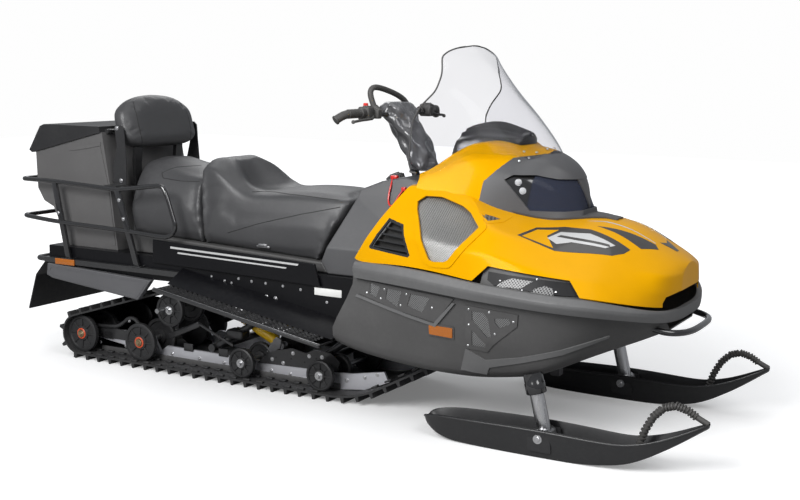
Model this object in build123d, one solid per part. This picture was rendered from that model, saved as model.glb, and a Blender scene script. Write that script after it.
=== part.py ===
from build123d import *
import math
import os

# Snowmobile with a wide track, two skis, two seats and a cargo box.
# Millimetres. +X is forward, +Y the rider's left, +Z up. The ground is Z = 0.
# The origin is under the middle of the machine's length, on its plane of symmetry.

# ---- driving dimensions -------------------------------------------------------------

FIT = 0.3                   # clearance between pieces that seat on each other
SHEET = 4.0                 # sheet metal of the tunnel and boards
PANEL = 5.0                 # moulded plastic walls

# track
track_half = 300.0
belt_thick = 8.0
lug_high = 22.0
lug_foot = 18.0
lug_tip = 10.0
lug_pitch_wanted = 71.6
rear_wheel_r = 89.0
front_wheel_r = 67.0
idler_r = 72.0
sprocket_r = 95.0
rear_axle_x = -1346.0
second_axle_x = -988.0
third_axle_x = -410.0
front_axle_x = 0.0
idler_x = -842.0
idler_z = 290.0
ramp_angle = 28.0
ramp_start_x = 60.0
ramp_bend_r = 500.0
sprocket_x = 600.0

# tunnel, boards and what hangs on them
tunnel_half = 322.0
tunnel_top = 540.0
tunnel_rear_x = -1490.0
tunnel_front_x = 745.0
board_half = 522.0
board_rear_x = -690.0
board_front_x = 160.0
board_rear_z = 447.0
board_front_z = 303.0

# skis and legs
ski_y = 450.0
ski_bolt_x = 1100.0
ski_bolt_z = 70.0
leg_rake = 14.0
leg_r = 27.0
collar_r = 36.0
collar_low_z = 222.0
leg_top_z = 345.0
ski_half = 80.0
ski_thick = 9.0

# steering
steer_rake = 16.5
steer_base_x = 283.0
steer_base_z = 961.0
post_r = 18.0
bar_z = 1208.0
bar_r = 11.0
grip_r = 17.0

# hood hinge
hood_hinge_x = 1494.0
hood_hinge_z = 530.0
hinge_pin_r = 4.0
knuckle_r = 8.0

# cargo box and its lid
box_half = 275.0
box_front_x = -1186.0
lid_front_x = -1190.0
lid_hinge_x = -1184.0
lid_hinge_z = 1078.0
lid_barrel_r = 5.0

os.makedirs("parts", exist_ok=True)


# ---- helpers ------------------------------------------------------------------------

def prism_y(outline, y_low, y_high):
    """Extrude an outline of (x, z) points from y_low to y_high."""
    face = make_face(Polyline(*[(x, y_low, z) for x, z in outline], close=True))
    return extrude(face, amount=y_high - y_low, dir=(0, 1, 0))


def prism_x(outline, x_low, x_high):
    """Extrude an outline of (y, z) points from x_low to x_high."""
    face = make_face(Polyline(*[(x_low, y, z) for y, z in outline], close=True))
    return extrude(face, amount=x_high - x_low, dir=(1, 0, 0))


def prism_z(outline, z_low, z_high):
    """Extrude an outline of (x, y) points from z_low to z_high."""
    face = make_face(Polyline(*[(x, y, z_low) for x, y in outline], close=True))
    return extrude(face, amount=z_high - z_low, dir=(0, 0, 1))


def block(x_low, x_high, y_low, y_high, z_low, z_high):
    centre = ((x_low + x_high) / 2, (y_low + y_high) / 2, (z_low + z_high) / 2)
    return Pos(*centre) * Box(x_high - x_low, y_high - y_low, z_high - z_low)


def rod_y(x, z, r, y_low, y_high):
    """Round bar along Y."""
    return Pos(x, (y_low + y_high) / 2, z) * Rot(90, 0, 0) * Cylinder(r, y_high - y_low)


def rod(start, end, r):
    """Round bar from one point to another."""
    way = Vector(*end) - Vector(*start)
    plane = Plane(origin=start, z_dir=way)
    return extrude(plane * Circle(r), amount=way.length)


def tube(points, bends, r):
    """Round bar along straight runs with bend radii at the inner points."""
    path = FilletPolyline(*points, radius=bends)
    start = Plane(origin=path @ 0, z_dir=path % 0)
    return sweep(start * Circle(r), path=path)


def other_side(shape):
    return mirror(shape, about=Plane.XZ)


def both_sides(shape):
    return Compound(children=[*shape.solids(), *other_side(shape).solids()])


def group(*shapes):
    return Compound(children=[solid for shape in shapes for solid in shape.solids()])


def ruled(sections):
    """Straight-ruled solid through closed sections of (x, y, z) points."""
    return Solid.make_loft([Wire(Polyline(*points, close=True).edges()) for points in sections], True)


def save(name, shape):
    export_step(shape, f"parts/{name}.step")


# ---- track --------------------------------------------------------------------------

belt_low = lug_high + belt_thick
rear_axle_z = belt_low + rear_wheel_r
front_axle_z = belt_low + front_wheel_r
ramp_bend_z = belt_low + ramp_bend_r
ramp = math.radians(ramp_angle)
ramp_end = (ramp_start_x + ramp_bend_r * math.sin(ramp), ramp_bend_z - ramp_bend_r * math.cos(ramp))
ramp_run = (sprocket_x - ramp_end[0] + sprocket_r * math.sin(ramp)) / math.cos(ramp)
sprocket_z = ramp_end[1] + ramp_run * math.sin(ramp) + sprocket_r * math.cos(ramp)

# circles that the belt's inner face wraps, in order, each with (x, z, radius)
wrap_circles = [
    (rear_axle_x, rear_axle_z, rear_wheel_r),
    (ramp_start_x, ramp_bend_z, ramp_bend_r),
    (sprocket_x, sprocket_z, sprocket_r),
    (idler_x, idler_z, idler_r),
]


def tangent_heading(circle, following):
    """Heading of the outer tangent from one anticlockwise circle to the next."""
    dx = following[0] - circle[0]
    dz = following[1] - circle[1]
    turn = math.asin((circle[2] - following[2]) / math.hypot(dx, dz))
    return math.atan2(dz, dx) + turn


def belt_pieces():
    """Runs and arcs of the belt's inner face, anticlockwise seen from the right side."""
    count = len(wrap_circles)
    headings = []
    for index in range(count):
        headings.append(tangent_heading(wrap_circles[index], wrap_circles[(index + 1) % count]))
    pieces = []
    for index, circle in enumerate(wrap_circles):
        heading_in = headings[index - 1]
        heading_out = headings[index]
        while heading_out < heading_in - 1e-9:
            heading_out += 2 * math.pi
        pieces.append(("arc", circle, heading_in, heading_out - heading_in))
        following = wrap_circles[(index + 1) % count]
        start = on_circle(circle, heading_out, 0)
        end = on_circle(following, heading_out, 0)
        pieces.append(("run", start, heading_out, math.dist(start, end)))
    return pieces


def on_circle(circle, heading, out):
    """Point on a circle where its tangent has this heading, moved outwards."""
    reach = circle[2] + out
    return (circle[0] + reach * math.sin(heading), circle[1] - reach * math.cos(heading))


def piece_length(piece):
    return piece[3] if piece[0] == "run" else piece[1][2] * piece[3]


def belt_point(pieces, along, out):
    """Point at a distance along the belt's inner face, moved outwards."""
    for piece in pieces:
        length = piece_length(piece)
        if along <= length:
            break
        along -= length
    if piece[0] == "arc":
        return on_circle(piece[1], piece[2] + along / piece[1][2], out)
    heading = piece[2]
    x = piece[1][0] + along * math.cos(heading) + out * math.sin(heading)
    z = piece[1][1] + along * math.sin(heading) - out * math.cos(heading)
    return (x, z)


def inner_face(pieces):
    """Face on the plane of symmetry inside the belt."""
    edges = []
    for piece in pieces:
        start, middle, end = [flat(piece, share) for share in (0, 0.5, 1)]
        if piece[0] == "arc":
            edges.append(ThreePointArc(start, middle, end))
        else:
            edges.append(Line(start, end))
    return make_face(edges)


def flat(piece, share):
    """Point at a share of one piece's length, on the plane of symmetry."""
    x, z = belt_point([piece], share * piece_length(piece), 0)
    return (x, 0, z)


def make_track():
    pieces = belt_pieces()
    loop = sum(piece_length(piece) for piece in pieces)
    count = round(loop / lug_pitch_wanted)
    pitch = loop / count
    # points of one lug and of the belt after it, each with its place along the belt and its height
    lug_points = [
        (-lug_foot / 2, belt_thick),
        (-lug_tip / 2, belt_low),
        (lug_tip / 2, belt_low),
        (lug_foot / 2, belt_thick),
        (pitch * 0.4, belt_thick),
        (pitch * 0.6, belt_thick),
    ]
    outline = []
    for index in range(count):
        for ahead, out in lug_points:
            along = ((index + 0.3) * pitch + ahead) % loop
            outline.append(belt_point(pieces, along, out))
    belt = prism_y(outline, -track_half, track_half)
    return belt - extrude(inner_face(pieces), amount=track_half + 1, dir=(0, 1, 0), both=True)


save("track", make_track())


# ---- slide suspension inside the track ----------------------------------------------

rail_y = 185.0
rail_thick = 12.0
rail_low = belt_low + FIT
rail_top = 100.0
wheel_y = 262.0
wheel_wide = 26.0
inner_wheel_y = 120.0
axle_r = 11.0


def wheel_pair(x, z, r, y):
    """A left and a right wheel at one distance from the middle."""
    wheel = rod_y(x, z, r - FIT, y - wheel_wide / 2, y + wheel_wide / 2)
    wheel -= rod_y(x, z, r * 0.62, y + wheel_wide / 2 - 7, y + wheel_wide / 2 + 1)
    wheel += rod_y(x, z, r * 0.3, y, y + wheel_wide / 2)
    wheel -= rod_y(x, z, axle_r + FIT, y - wheel_wide, y + wheel_wide)
    return both_sides(wheel)


def make_rails():
    rear_x = second_axle_x + 60
    front_x = ramp_end[0]
    front_z = ramp_end[1]
    outline = [
        (rear_x, rail_low),
        (ramp_start_x, rail_low),
        (ramp_start_x + 120, rail_low + 15),
        (front_x, front_z + 4),
        (front_x - 22, front_z + 46),
        (ramp_start_x + 60, rail_top + 6),
        (ramp_start_x - 20, rail_top),
        (rear_x + 40, rail_top),
        (rear_x, rail_top - 30),
    ]
    rail = prism_y(outline, rail_y, rail_y + rail_thick)
    for x in (third_axle_x, front_axle_x):
        rail -= rod_y(x, front_axle_z, axle_r + FIT, rail_y - 1, rail_y + rail_thick + 1)
    tail = prism_y([
        (rear_axle_x - 30, rear_axle_z - 22),
        (rear_axle_x - 30, rear_axle_z + 22),
        (second_axle_x + 20, rear_axle_z + 22),
        (rear_x - 1, rail_top - 30),
        (rear_x - 1, rail_low + 10),
        (second_axle_x - 40, rail_low + 30),
    ], rail_y, rail_y + rail_thick)
    for x in (rear_axle_x, second_axle_x):
        tail -= rod_y(x, rear_axle_z, axle_r + FIT, rail_y - 1, rail_y + rail_thick + 1)
    return both_sides(rail), both_sides(tail)


rails, rail_tails = make_rails()
save("slide_rails", group(rails, rail_tails))

shock_r = 26.0
shock_shaft = (-140.0, 275.0)
axle_half = wheel_y + wheel_wide / 2 + 6
axles = [
    (rear_axle_x, rear_axle_z),
    (second_axle_x, rear_axle_z),
    (third_axle_x, front_axle_z),
    (front_axle_x, front_axle_z),
]
idler_shaft = rod_y(idler_x, idler_z, axle_r, -tunnel_half + SHEET, tunnel_half - SHEET)
top_shaft = rod_y(*shock_shaft, axle_r, -tunnel_half + SHEET, tunnel_half - SHEET)
axle_rods = [rod_y(x, z, axle_r, -axle_half, axle_half) for x, z in axles]
save("axles", group(idler_shaft, top_shaft, *axle_rods))
save("road_wheels", group(
    wheel_pair(rear_axle_x, rear_axle_z, rear_wheel_r, wheel_y),
    wheel_pair(rear_axle_x, rear_axle_z, rear_wheel_r, inner_wheel_y),
    wheel_pair(second_axle_x, rear_axle_z, rear_wheel_r, wheel_y),
    wheel_pair(third_axle_x, front_axle_z, front_wheel_r, wheel_y),
    wheel_pair(front_axle_x, front_axle_z, front_wheel_r, wheel_y),
    wheel_pair(idler_x, idler_z, idler_r, wheel_y - 20),
))

sprocket_shaft_r = 16.0
sprocket_wide = 40.0


def make_sprockets():
    shaft = rod_y(sprocket_x, sprocket_z, sprocket_shaft_r, -tunnel_half + SHEET, tunnel_half - SHEET)
    wheels = []
    for y in (-190.0, -65.0, 65.0, 190.0):
        low, high = y - sprocket_wide / 2, y + sprocket_wide / 2
        wheels.append(rod_y(sprocket_x, sprocket_z, sprocket_r - FIT, low, high))
    return shaft.fuse(*wheels)


save("drive_sprockets", make_sprockets())

# arms from the tunnel down to the rails, (x, z) at the top shaft and at the rail
front_arm = ((150.0, 300.0), (-90.0, 118.0))
rear_arm = ((-300.0, 330.0), (-640.0, 118.0))
arm_y = 150.0
arm_r = 16.0


def make_arm(ends):
    (top_x, top_z), (low_x, low_z) = ends
    arm = rod((top_x, arm_y, top_z), (low_x, arm_y, low_z), arm_r)
    arm = arm.fuse(rod((top_x, -arm_y, top_z), (low_x, -arm_y, low_z), arm_r))
    arm = arm.fuse(rod_y(top_x, top_z, arm_r + 2, -tunnel_half + SHEET, tunnel_half - SHEET))
    return arm.fuse(rod_y(low_x, low_z, arm_r + 2, -rail_y, rail_y))


save("front_arm", make_arm(front_arm))
save("rear_arm", make_arm(rear_arm))

def make_shock(y):
    """Damper with its spring, between the rear arm's lower shaft and a shaft of the tunnel."""
    low = Vector(rear_arm[1][0], y, rear_arm[1][1])
    high = Vector(shock_shaft[0], y, shock_shaft[1])
    way = (high - low).normalized()
    low = low + way * (arm_r + 2 + FIT)
    high = high - way * (axle_r + FIT)
    spring_low = low + way * 90
    spring_high = high - way * 70
    return rod(tuple(low), tuple(high), 9).fuse(rod(tuple(spring_low), tuple(spring_high), shock_r))


save("shocks", group(make_shock(-95.0), make_shock(95.0)))


# ---- tunnel and running boards ------------------------------------------------------

def board_z(x):
    share = (x - board_rear_x) / (board_front_x - board_rear_x)
    return board_rear_z + (board_front_z - board_rear_z) * share


def make_tunnel():
    side_outline = [
        (tunnel_rear_x, tunnel_top),
        (tunnel_rear_x, 425.0),
        (board_rear_x, board_z(board_rear_x) - 12),
        (board_front_x, board_z(board_front_x) - 12),
        (tunnel_front_x, 290.0),
        (tunnel_front_x, tunnel_top),
    ]
    side = prism_y(side_outline, tunnel_half - SHEET, tunnel_half)
    top = block(tunnel_rear_x, tunnel_front_x, -tunnel_half, tunnel_half, tunnel_top - SHEET, tunnel_top)
    front = block(tunnel_front_x - SHEET, tunnel_front_x, -tunnel_half, tunnel_half, 470.0, tunnel_top)
    return side.fuse(other_side(side), top, front)


save("tunnel", make_tunnel())


def make_board():
    deck = prism_y([
        (board_rear_x, board_z(board_rear_x)),
        (board_front_x, board_z(board_front_x)),
        (board_front_x, board_z(board_front_x) - 18),
        (board_rear_x, board_z(board_rear_x) - 18),
    ], tunnel_half + FIT, board_half)
    hollow = prism_y([
        (board_rear_x - 1, board_z(board_rear_x) - SHEET),
        (board_front_x + 1, board_z(board_front_x) - SHEET),
        (board_front_x + 1, board_z(board_front_x) - 40),
        (board_rear_x - 1, board_z(board_rear_x) - 40),
    ], tunnel_half + FIT + SHEET, board_half - SHEET)
    return deck - hollow


save("running_boards", both_sides(make_board()))

# rear skirt: a grey guard along the tunnel's rear end, each side
skirt_outline = [
    (-1476.0, 458.0),
    (-1484.0, 402.0),
    (-1448.0, 388.0),
    (-925.0, 337.0),
    (-846.0, 434.0),
]
skirt = prism_y(skirt_outline, tunnel_half + FIT, tunnel_half + 30)
save("rear_skirts", both_sides(skirt))

beam_low = 462.0
beam_high = 486.0
beam_wide = 24.0
beam_rear_x = -1500.0
beam_front_x = -660.0
bumper_x = -1560.0
bumper_r = 12.0
hitch_r = 6.5
tongue_half = 40.0


def make_rear_frame():
    """Two beams along the tunnel, joined behind it by the bumper's tube."""
    beam = block(beam_rear_x, beam_front_x, tunnel_half + FIT, tunnel_half + beam_wide, beam_low, beam_high)
    y = tunnel_half + beam_wide / 2
    z = (beam_low + beam_high) / 2
    points = [(beam_rear_x + 30, -y, z), (bumper_x, -y, z), (bumper_x, y, z), (beam_rear_x + 30, y, z)]
    low, high = z - 36, z - 16
    tongue = block(bumper_x - 32, bumper_x + 24, -tongue_half, tongue_half, low, high)
    tongue += block(bumper_x - 8, bumper_x + 8, -tongue_half, tongue_half, low, z)
    frame = tube(points, [30, 30], bumper_r).fuse(beam, other_side(beam), tongue)
    return frame - Pos(bumper_x - 16, 0, (low + high) / 2) * Cylinder(hitch_r, 40)


save("rear_frame", make_rear_frame())


flap_top_z = (beam_low + beam_high) / 2 - bumper_r - FIT


def make_flap():
    outline = [
        (bumper_x + 3, flap_top_z),
        (-1634.0, 372.0),
        (-1691.0, 200.0),
        (-1697.0, 202.0),
        (-1640.0, 376.0),
        (bumper_x - 3, flap_top_z),
    ]
    slot_half = tongue_half + 1
    slot = block(bumper_x - 60, bumper_x + 60, -slot_half, slot_half, 418.0, 470.0)
    return prism_y(outline, -270.0, 270.0) - slot


save("snow_flap", make_flap())

lamp = block(tunnel_rear_x - 22, tunnel_rear_x - FIT, -130.0, 130.0, tunnel_top - 42, tunnel_top)
save("tail_lamp", lamp)


# ---- seats and what carries them ----------------------------------------------------

def seat_low(x):
    """Height of the seats' underside, which falls towards the front."""
    return 628.0 + (586.0 - 628.0) * (x + 1035.0) / 1017.0


seat_front_x = -18.0
seat_split_x = -622.0
seat_rear_x = -1038.0


def make_seat_base():
    outline = [
        (seat_rear_x, tunnel_top + FIT),
        (40.0, tunnel_top + FIT),
        (12.0, seat_low(seat_front_x) - FIT),
        (seat_front_x, seat_low(seat_front_x) - FIT),
        (seat_rear_x, seat_low(seat_rear_x) - FIT),
    ]
    return prism_y(outline, -270.0, 270.0)


save("seat_base", make_seat_base())

panel_thick = 14.0
panel_outline = [
    (-845.0, 514.0), (45.0, 493.0), (16.0, 586.0), (-845.0, 618.0),
]
side_panel = prism_y(panel_outline, tunnel_half + FIT, tunnel_half + panel_thick)
save("side_panels", both_sides(side_panel))

seat_section = [
    (-248.0, 560.0), (248.0, 560.0), (250.0, 760.0),
    (188.0, 1010.0), (-188.0, 1010.0), (-250.0, 760.0),
]


def make_seat(outline):
    return prism_y(outline, -260.0, 260.0) & prism_x(seat_section, -1300.0, 300.0)


driver_outline = [
    (seat_front_x, seat_low(seat_front_x)),
    (108.0, 842.0),
    (-52.0, 842.0),
    (-130.0, 864.0),
    (-261.0, 872.0),
    (-340.0, 905.0),
    (-449.0, 962.0),
    (-532.0, 985.0),
    (-620.0, 984.0),
    (-668.0, 965.0),
    (seat_split_x, seat_low(seat_split_x)),
]
save("seat_driver", make_seat(driver_outline))

passenger_outline = [
    (seat_split_x - 1, seat_low(seat_split_x)),
    (-669.0, 964.0),
    (-700.0, 945.0),
    (-783.0, 932.0),
    (-847.0, 938.0),
    (-930.0, 958.0),
    (-1013.0, 977.0),
    (-1050.0, 970.0),
    (-1068.0, 930.0),
    (seat_rear_x, seat_low(seat_rear_x)),
]
save("seat_passenger", make_seat(passenger_outline))


def make_backrest():
    outline = [
        (-1092.0, 1010.0), (-1040.0, 1030.0), (-1062.0, 1120.0), (-1085.0, 1215.0),
        (-1110.0, 1245.0), (-1150.0, 1248.0), (-1172.0, 1215.0), (-1168.0, 1125.0), (-1140.0, 1040.0),
    ]
    face_outline = [
        (-150.0, 1000.0), (150.0, 1000.0), (215.0, 1060.0), (225.0, 1150.0), (190.0, 1220.0), (130.0, 1260.0),
        (-130.0, 1260.0), (-190.0, 1220.0), (-225.0, 1150.0), (-215.0, 1060.0),
    ]
    return prism_y(outline, -240.0, 240.0) & prism_x(face_outline, -1300.0, -900.0)


backrest = make_backrest()
save("backrest", backrest)


def make_backrest_frame():
    stay = prism_y([
        (-1090.0, seat_low(-1060.0) - 60),
        (-1072.0, seat_low(-1060.0) - 60),
        (-1086.0, 935.0),
        (-1078.0, 1000.0),
        (-1078.0, 1040.0),
        (-1096.0, 1040.0),
        (-1104.0, 935.0),
    ], 120.0, 165.0)
    foot = block(-1090.0, seat_rear_x - FIT, -165.0, 165.0, 541.0, 585.0)
    return (stay.fuse(other_side(stay), foot)) - backrest


save("backrest_frame", make_backrest_frame())


# ---- cargo box, lid and side racks --------------------------------------------------

box_rear_x = -1604.0
lid_rear_x = -1622.0
seam_rear_z = 968.0


def seam_z(x):
    """Height of the seam between the box and its lid."""
    return seam_rear_z + (lid_hinge_z - seam_rear_z) * (x - lid_rear_x) / (box_front_x - lid_rear_x)


def lid_barrels(y_low, y_high, r):
    """Barrels on the lid's hinge line, one on each side."""
    return both_sides(rod_y(lid_hinge_x, lid_hinge_z, r, y_low, y_high))


def make_cargo_box():
    outer_outline = [
        (box_front_x, seam_z(box_front_x)),
        (box_rear_x, seam_z(box_rear_x)),
        (box_rear_x + 6, 800.0),
        (-1560.0, 742.0),
        (-1500.0, 716.0),
        (-1410.0, tunnel_top + FIT),
        (-1104.0, tunnel_top + FIT),
        (-1143.0, 840.0),
    ]
    inner_outline = [
        (box_front_x - PANEL, seam_z(box_front_x)),
        (box_front_x - PANEL, 1150.0),
        (box_rear_x + PANEL, 1150.0),
        (box_rear_x + 6 + PANEL, 802.0),
        (-1556.0, 747.0),
        (-1496.0, 721.0),
        (-1406.0, tunnel_top + FIT + PANEL),
        (-1110.0, tunnel_top + FIT + PANEL),
        (-1148.0, 840.0),
    ]
    box = prism_y(outer_outline, -box_half, box_half)
    box -= prism_y(inner_outline, -box_half + PANEL, box_half - PANEL)
    box -= lid_barrels(150.0, 182.0, lid_barrel_r + 2)
    return box.fuse(*lid_barrels(118.0, 149.5, lid_barrel_r).solids())


save("cargo_box", make_cargo_box())


def make_cargo_lid():
    outline = [
        (lid_front_x, seam_z(lid_front_x) + FIT),
        (lid_rear_x, seam_z(lid_rear_x) + FIT),
        (lid_rear_x - 18, seam_z(lid_rear_x) + 12),
        (-1566.0, 1094.0),
        (-1540.0, 1104.0),
        (lid_front_x - 6, 1104.0),
    ]
    hollow = [
        (lid_front_x - 8, lid_hinge_z - 20),
        (box_rear_x - 4, seam_z(box_rear_x) - 20),
        (box_rear_x - 4, seam_z(box_rear_x) + 14),
        (-1558.0, 1088.0),
        (-1538.0, 1098.0),
        (lid_front_x - 14, 1098.0),
    ]
    lid = prism_y(outline, -box_half - 8, box_half + 8)
    lid -= prism_y(hollow, -box_half + PANEL, box_half - PANEL)
    lid -= lid_barrels(117.0, 150.5, lid_barrel_r + 2)
    knuckles = lid_barrels(150.5, 181.5, lid_barrel_r)
    tabs = both_sides(block(lid_front_x - 3, lid_hinge_x, 150.5, 181.5, lid_hinge_z + 1, lid_hinge_z + 5))
    return lid.fuse(*knuckles.solids(), *tabs.solids())


save("cargo_lid", make_cargo_lid())

rack_y = tunnel_half + 12.0
rack_r = 9.0


def make_rack():
    """Side frame of one side: a closed loop of tube on two posts."""
    points = [
        (-1405.0, rack_y, 655.0), (-1640.0, rack_y, 672.0), (-1644.0, rack_y, 846.0), (-1427.0, rack_y, 846.0),
        (-1046.0, rack_y, 828.0), (-796.0, rack_y, 862.0), (-706.0, rack_y, 672.0), (-766.0, rack_y, 632.0),
        (-1000.0, rack_y, 646.0), (-1405.0, rack_y, 655.0),
    ]
    loop = tube(points[:-1] + [(-1404.0, rack_y, 655.0)], [25, 30, 60, 60, 45, 30, 40, 60], rack_r)
    rear_post = rod((-1430.0, rack_y, 846.0), (-1352.0, rack_y, beam_high), rack_r)
    front_post = rod((-1046.0, rack_y, 828.0), (-935.0, rack_y, beam_high), rack_r)
    below = block(-1500.0, -700.0, rack_y - 50, rack_y + 50, beam_low - 50, beam_high + FIT)
    return loop.fuse(rear_post, front_post) - below


save("side_racks", both_sides(make_rack()))


# ---- hull ---------------------------------------------------------------------------

# belt round the hull's rim; columns: x, top half-width, top z, ridge half-width, ridge z,
# bottom half-width, bottom z
rim = [
    (282.0, 452.0, 637.0, 462.0, 610.0, 456.0, 575.0),
    (507.0, 500.0, 641.0, 514.0, 610.0, 506.0, 573.0),
    (691.0, 525.0, 632.0, 541.0, 600.0, 532.0, 565.0),
    (826.0, 538.0, 620.0, 555.0, 592.0, 546.0, 558.0),
    (945.0, 546.0, 614.0, 563.0, 586.0, 552.0, 553.0),
    (1063.0, 548.0, 607.0, 566.0, 580.0, 552.0, 548.0),
    (1177.0, 540.0, 601.0, 560.0, 575.0, 545.0, 544.0),
    (1282.0, 505.0, 592.0, 524.0, 568.0, 508.0, 536.0),
    (1389.0, 400.0, 562.0, 416.0, 545.0, 400.0, 516.0),
    (1456.0, 262.0, 534.0, 272.0, 522.0, 258.0, 492.0),
    (1484.0, 120.0, 524.0, 124.0, 510.0, 118.0, 484.0),
]
rim_thick = 22.0

# hinge between the hood's nose and the rim, one on each side
hinge_y = 72.0
hinge_half = 16.0
ear_wide = 7.0


def rim_section(row, side):
    x, top_w, top_z, ridge_w, ridge_z, low_w, low_z = row
    return [
        (x, side * (top_w - rim_thick), top_z),
        (x, side * top_w, top_z),
        (x, side * ridge_w, ridge_z),
        (x, side * low_w, low_z),
        (x, side * (low_w - rim_thick), low_z),
    ]


def make_rim():
    """The side runs end at the last row, and a straight bar joins them across the nose."""
    right = ruled([rim_section(row, -1) for row in rim])
    left = ruled([rim_section(row, 1) for row in rim])
    last = rim[-1]
    bar = block(last[0] - rim_thick, last[0], -last[1], last[1], last[6], last[2])
    ears = []
    for y in (hinge_y - hinge_half - ear_wide, hinge_y + hinge_half):
        ear = block(last[0] - 4, hood_hinge_x, y, y + ear_wide, last[2] - 10, hood_hinge_z + 3)
        ears.append(ear.fuse(rod_y(hood_hinge_x, hood_hinge_z, knuckle_r - 3, y, y + ear_wide)))
    pin = rod_y(hood_hinge_x, hood_hinge_z, hinge_pin_r, hinge_y - hinge_half, hinge_y + hinge_half)
    hinge = pin.fuse(*ears)
    return right.fuse(left, bar, hinge, other_side(hinge))


rim_solid = make_rim()
save("hull_rim", rim_solid)

# belly pan; columns: x, shoulder half-width, shoulder z, low half-width, low z
# its top edge lies inside the rim, and the first two rows are behind the rim
pan = [
    (175.0, 446.0, 400.0, 440.0, 296.0),
    (282.0, 452.0, 420.0, 446.0, 270.0),
    (507.0, 474.0, 430.0, 458.0, 246.0),
    (691.0, 490.0, 420.0, 462.0, 240.0),
    (826.0, 500.0, 405.0, 462.0, 244.0),
    (945.0, 504.0, 405.0, 462.0, 260.0),
    (1063.0, 500.0, 420.0, 468.0, 286.0),
    (1177.0, 478.0, 445.0, 440.0, 334.0),
    (1282.0, 420.0, 465.0, 380.0, 380.0),
    (1389.0, 310.0, 475.0, 280.0, 420.0),
    (1456.0, 200.0, 478.0, 180.0, 446.0),
]
pan_rear_top_z = 500.0
pan_lap = 20.0


def rim_inner(x):
    """Half-width and height of the pan's top edge, just inside the rim."""
    for row in rim:
        if row[0] == x:
            return (min(row[1], row[5]) - rim_thick - FIT * 4, row[6] + pan_lap)
    return (rim[0][1] - rim_thick - FIT * 4, pan_rear_top_z)


def pan_section(row, inset, rise):
    x, mid_w, mid_z, low_w, low_z = row
    top_w, top_z = rim_inner(x)
    half = [(top_w - inset, top_z + rise), (mid_w - inset, mid_z), (low_w - inset, low_z + inset)]
    right = [(x, -w, z) for w, z in half]
    left = [(x, w, z) for w, z in reversed(half)]
    return right + left


slot_half = tunnel_half + FIT
slot_front_x = tunnel_front_x + FIT


pan_solid = ruled([pan_section(row, 0, 0) for row in pan])


pan_inside = ruled([pan_section(row, PANEL, 40) for row in pan])


def make_pan():
    slot = block(0.0, slot_front_x, -slot_half, slot_half, 0.0, 900.0)
    return pan_solid - pan_inside - slot


pan_shell = make_pan()


def leg_point(z):
    """Point on the ski leg's axis at height z."""
    return (ski_bolt_x - (z - ski_bolt_z) * math.tan(math.radians(leg_rake)), ski_y, z)


collar_hole = rod(leg_point(150.0), leg_point(500.0), collar_r + FIT)
pan_shell = pan_shell - collar_hole - other_side(collar_hole)
save("belly_pan", pan_shell)

collar = rod(leg_point(collar_low_z), leg_point(leg_top_z - 12), collar_r)
collar -= rod(leg_point(0.0), leg_point(600.0), leg_r + FIT)
save("leg_collars", both_sides(collar))

engine_low_z = 340.0


def make_engine():
    """Plain block on four feet that stand on the pan's floor."""
    engine = block(800.0, 1120.0, -210.0, 210.0, engine_low_z, 640.0)
    for x in (830.0, 1060.0):
        for y in (-190.0, 150.0):
            engine = engine.fuse(block(x, x + 40, y, y + 40, 200.0, engine_low_z + 1) & pan_inside)
    return engine


save("engine", make_engine())


def make_front_loop():
    points = [
        (1400.0, -214.0, 470.0), (1496.0, -214.0, 447.0), (1538.0, -170.0, 447.0),
        (1538.0, 170.0, 447.0), (1496.0, 214.0, 447.0), (1400.0, 214.0, 470.0),
    ]
    return tube(points, [30, 30, 30, 30], 10) - pan_solid


save("front_loop", make_front_loop())


# ---- console ------------------------------------------------------------------------

steer = math.radians(steer_rake)


def steer_point(along):
    """Point on the steering axis, measured up from its base."""
    return (steer_base_x - along * math.sin(steer), 0.0, steer_base_z + along * math.cos(steer))


def make_console():
    outline = [
        (48.0, tunnel_top + FIT),
        (seat_front_x + 32, 590.0),
        (112.0, 842.0),
        (124.0, 886.0),
        (221.0, 925.0),
        (330.0, 948.0),
        (470.0, 905.0),
        (470.0, tunnel_top + FIT),
    ]
    section = [
        (-290.0, 480.0), (290.0, 480.0), (280.0, 650.0), (160.0, 860.0), (130.0, 960.0),
        (-130.0, 960.0), (-160.0, 860.0), (-280.0, 650.0),
    ]
    solid = prism_y(outline, -300.0, 300.0) & prism_x(section, 0.0, 500.0)
    return solid - rod(steer_point(-60), steer_point(100), post_r + FIT)


console = make_console()
save("console", console)
cap_r = 38.0
cap_stock = Pos(207, 0, 924) * Rot(0, -21, 0) * Cylinder(cap_r, 38)
save("fuel_cap", cap_stock - console)


# ---- hood ---------------------------------------------------------------------------

# columns: x, bottom half-width, bottom z, side half-width, side z, shoulder half-width,
# shoulder z, centre z
hood_rows = [
    (280.0, 438.0, 643.0, 425.0, 720.0, 350.0, 880.0, 900.0),
    (480.0, 482.0, 647.0, 455.0, 760.0, 325.0, 935.0, 945.0),
    (700.0, 512.0, 638.0, 490.0, 740.0, 300.0, 905.0, 915.0),
    (826.0, 526.0, 626.0, 500.0, 730.0, 420.0, 822.0, 880.0),
    (962.0, 534.0, 619.0, 500.0, 705.0, 405.0, 778.0, 842.0),
    (1111.0, 530.0, 610.0, 480.0, 670.0, 375.0, 732.0, 832.0),
    (1245.0, 505.0, 602.0, 440.0, 650.0, 330.0, 706.0, 812.0),
    (1350.0, 430.0, 582.0, 360.0, 630.0, 275.0, 682.0, 765.0),
    (1440.0, 262.0, 548.0, 255.0, 600.0, 225.0, 658.0, 712.0),
    (1482.0, 100.0, 534.0, 105.0, 590.0, 100.0, 650.0, 684.0),
]


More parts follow.
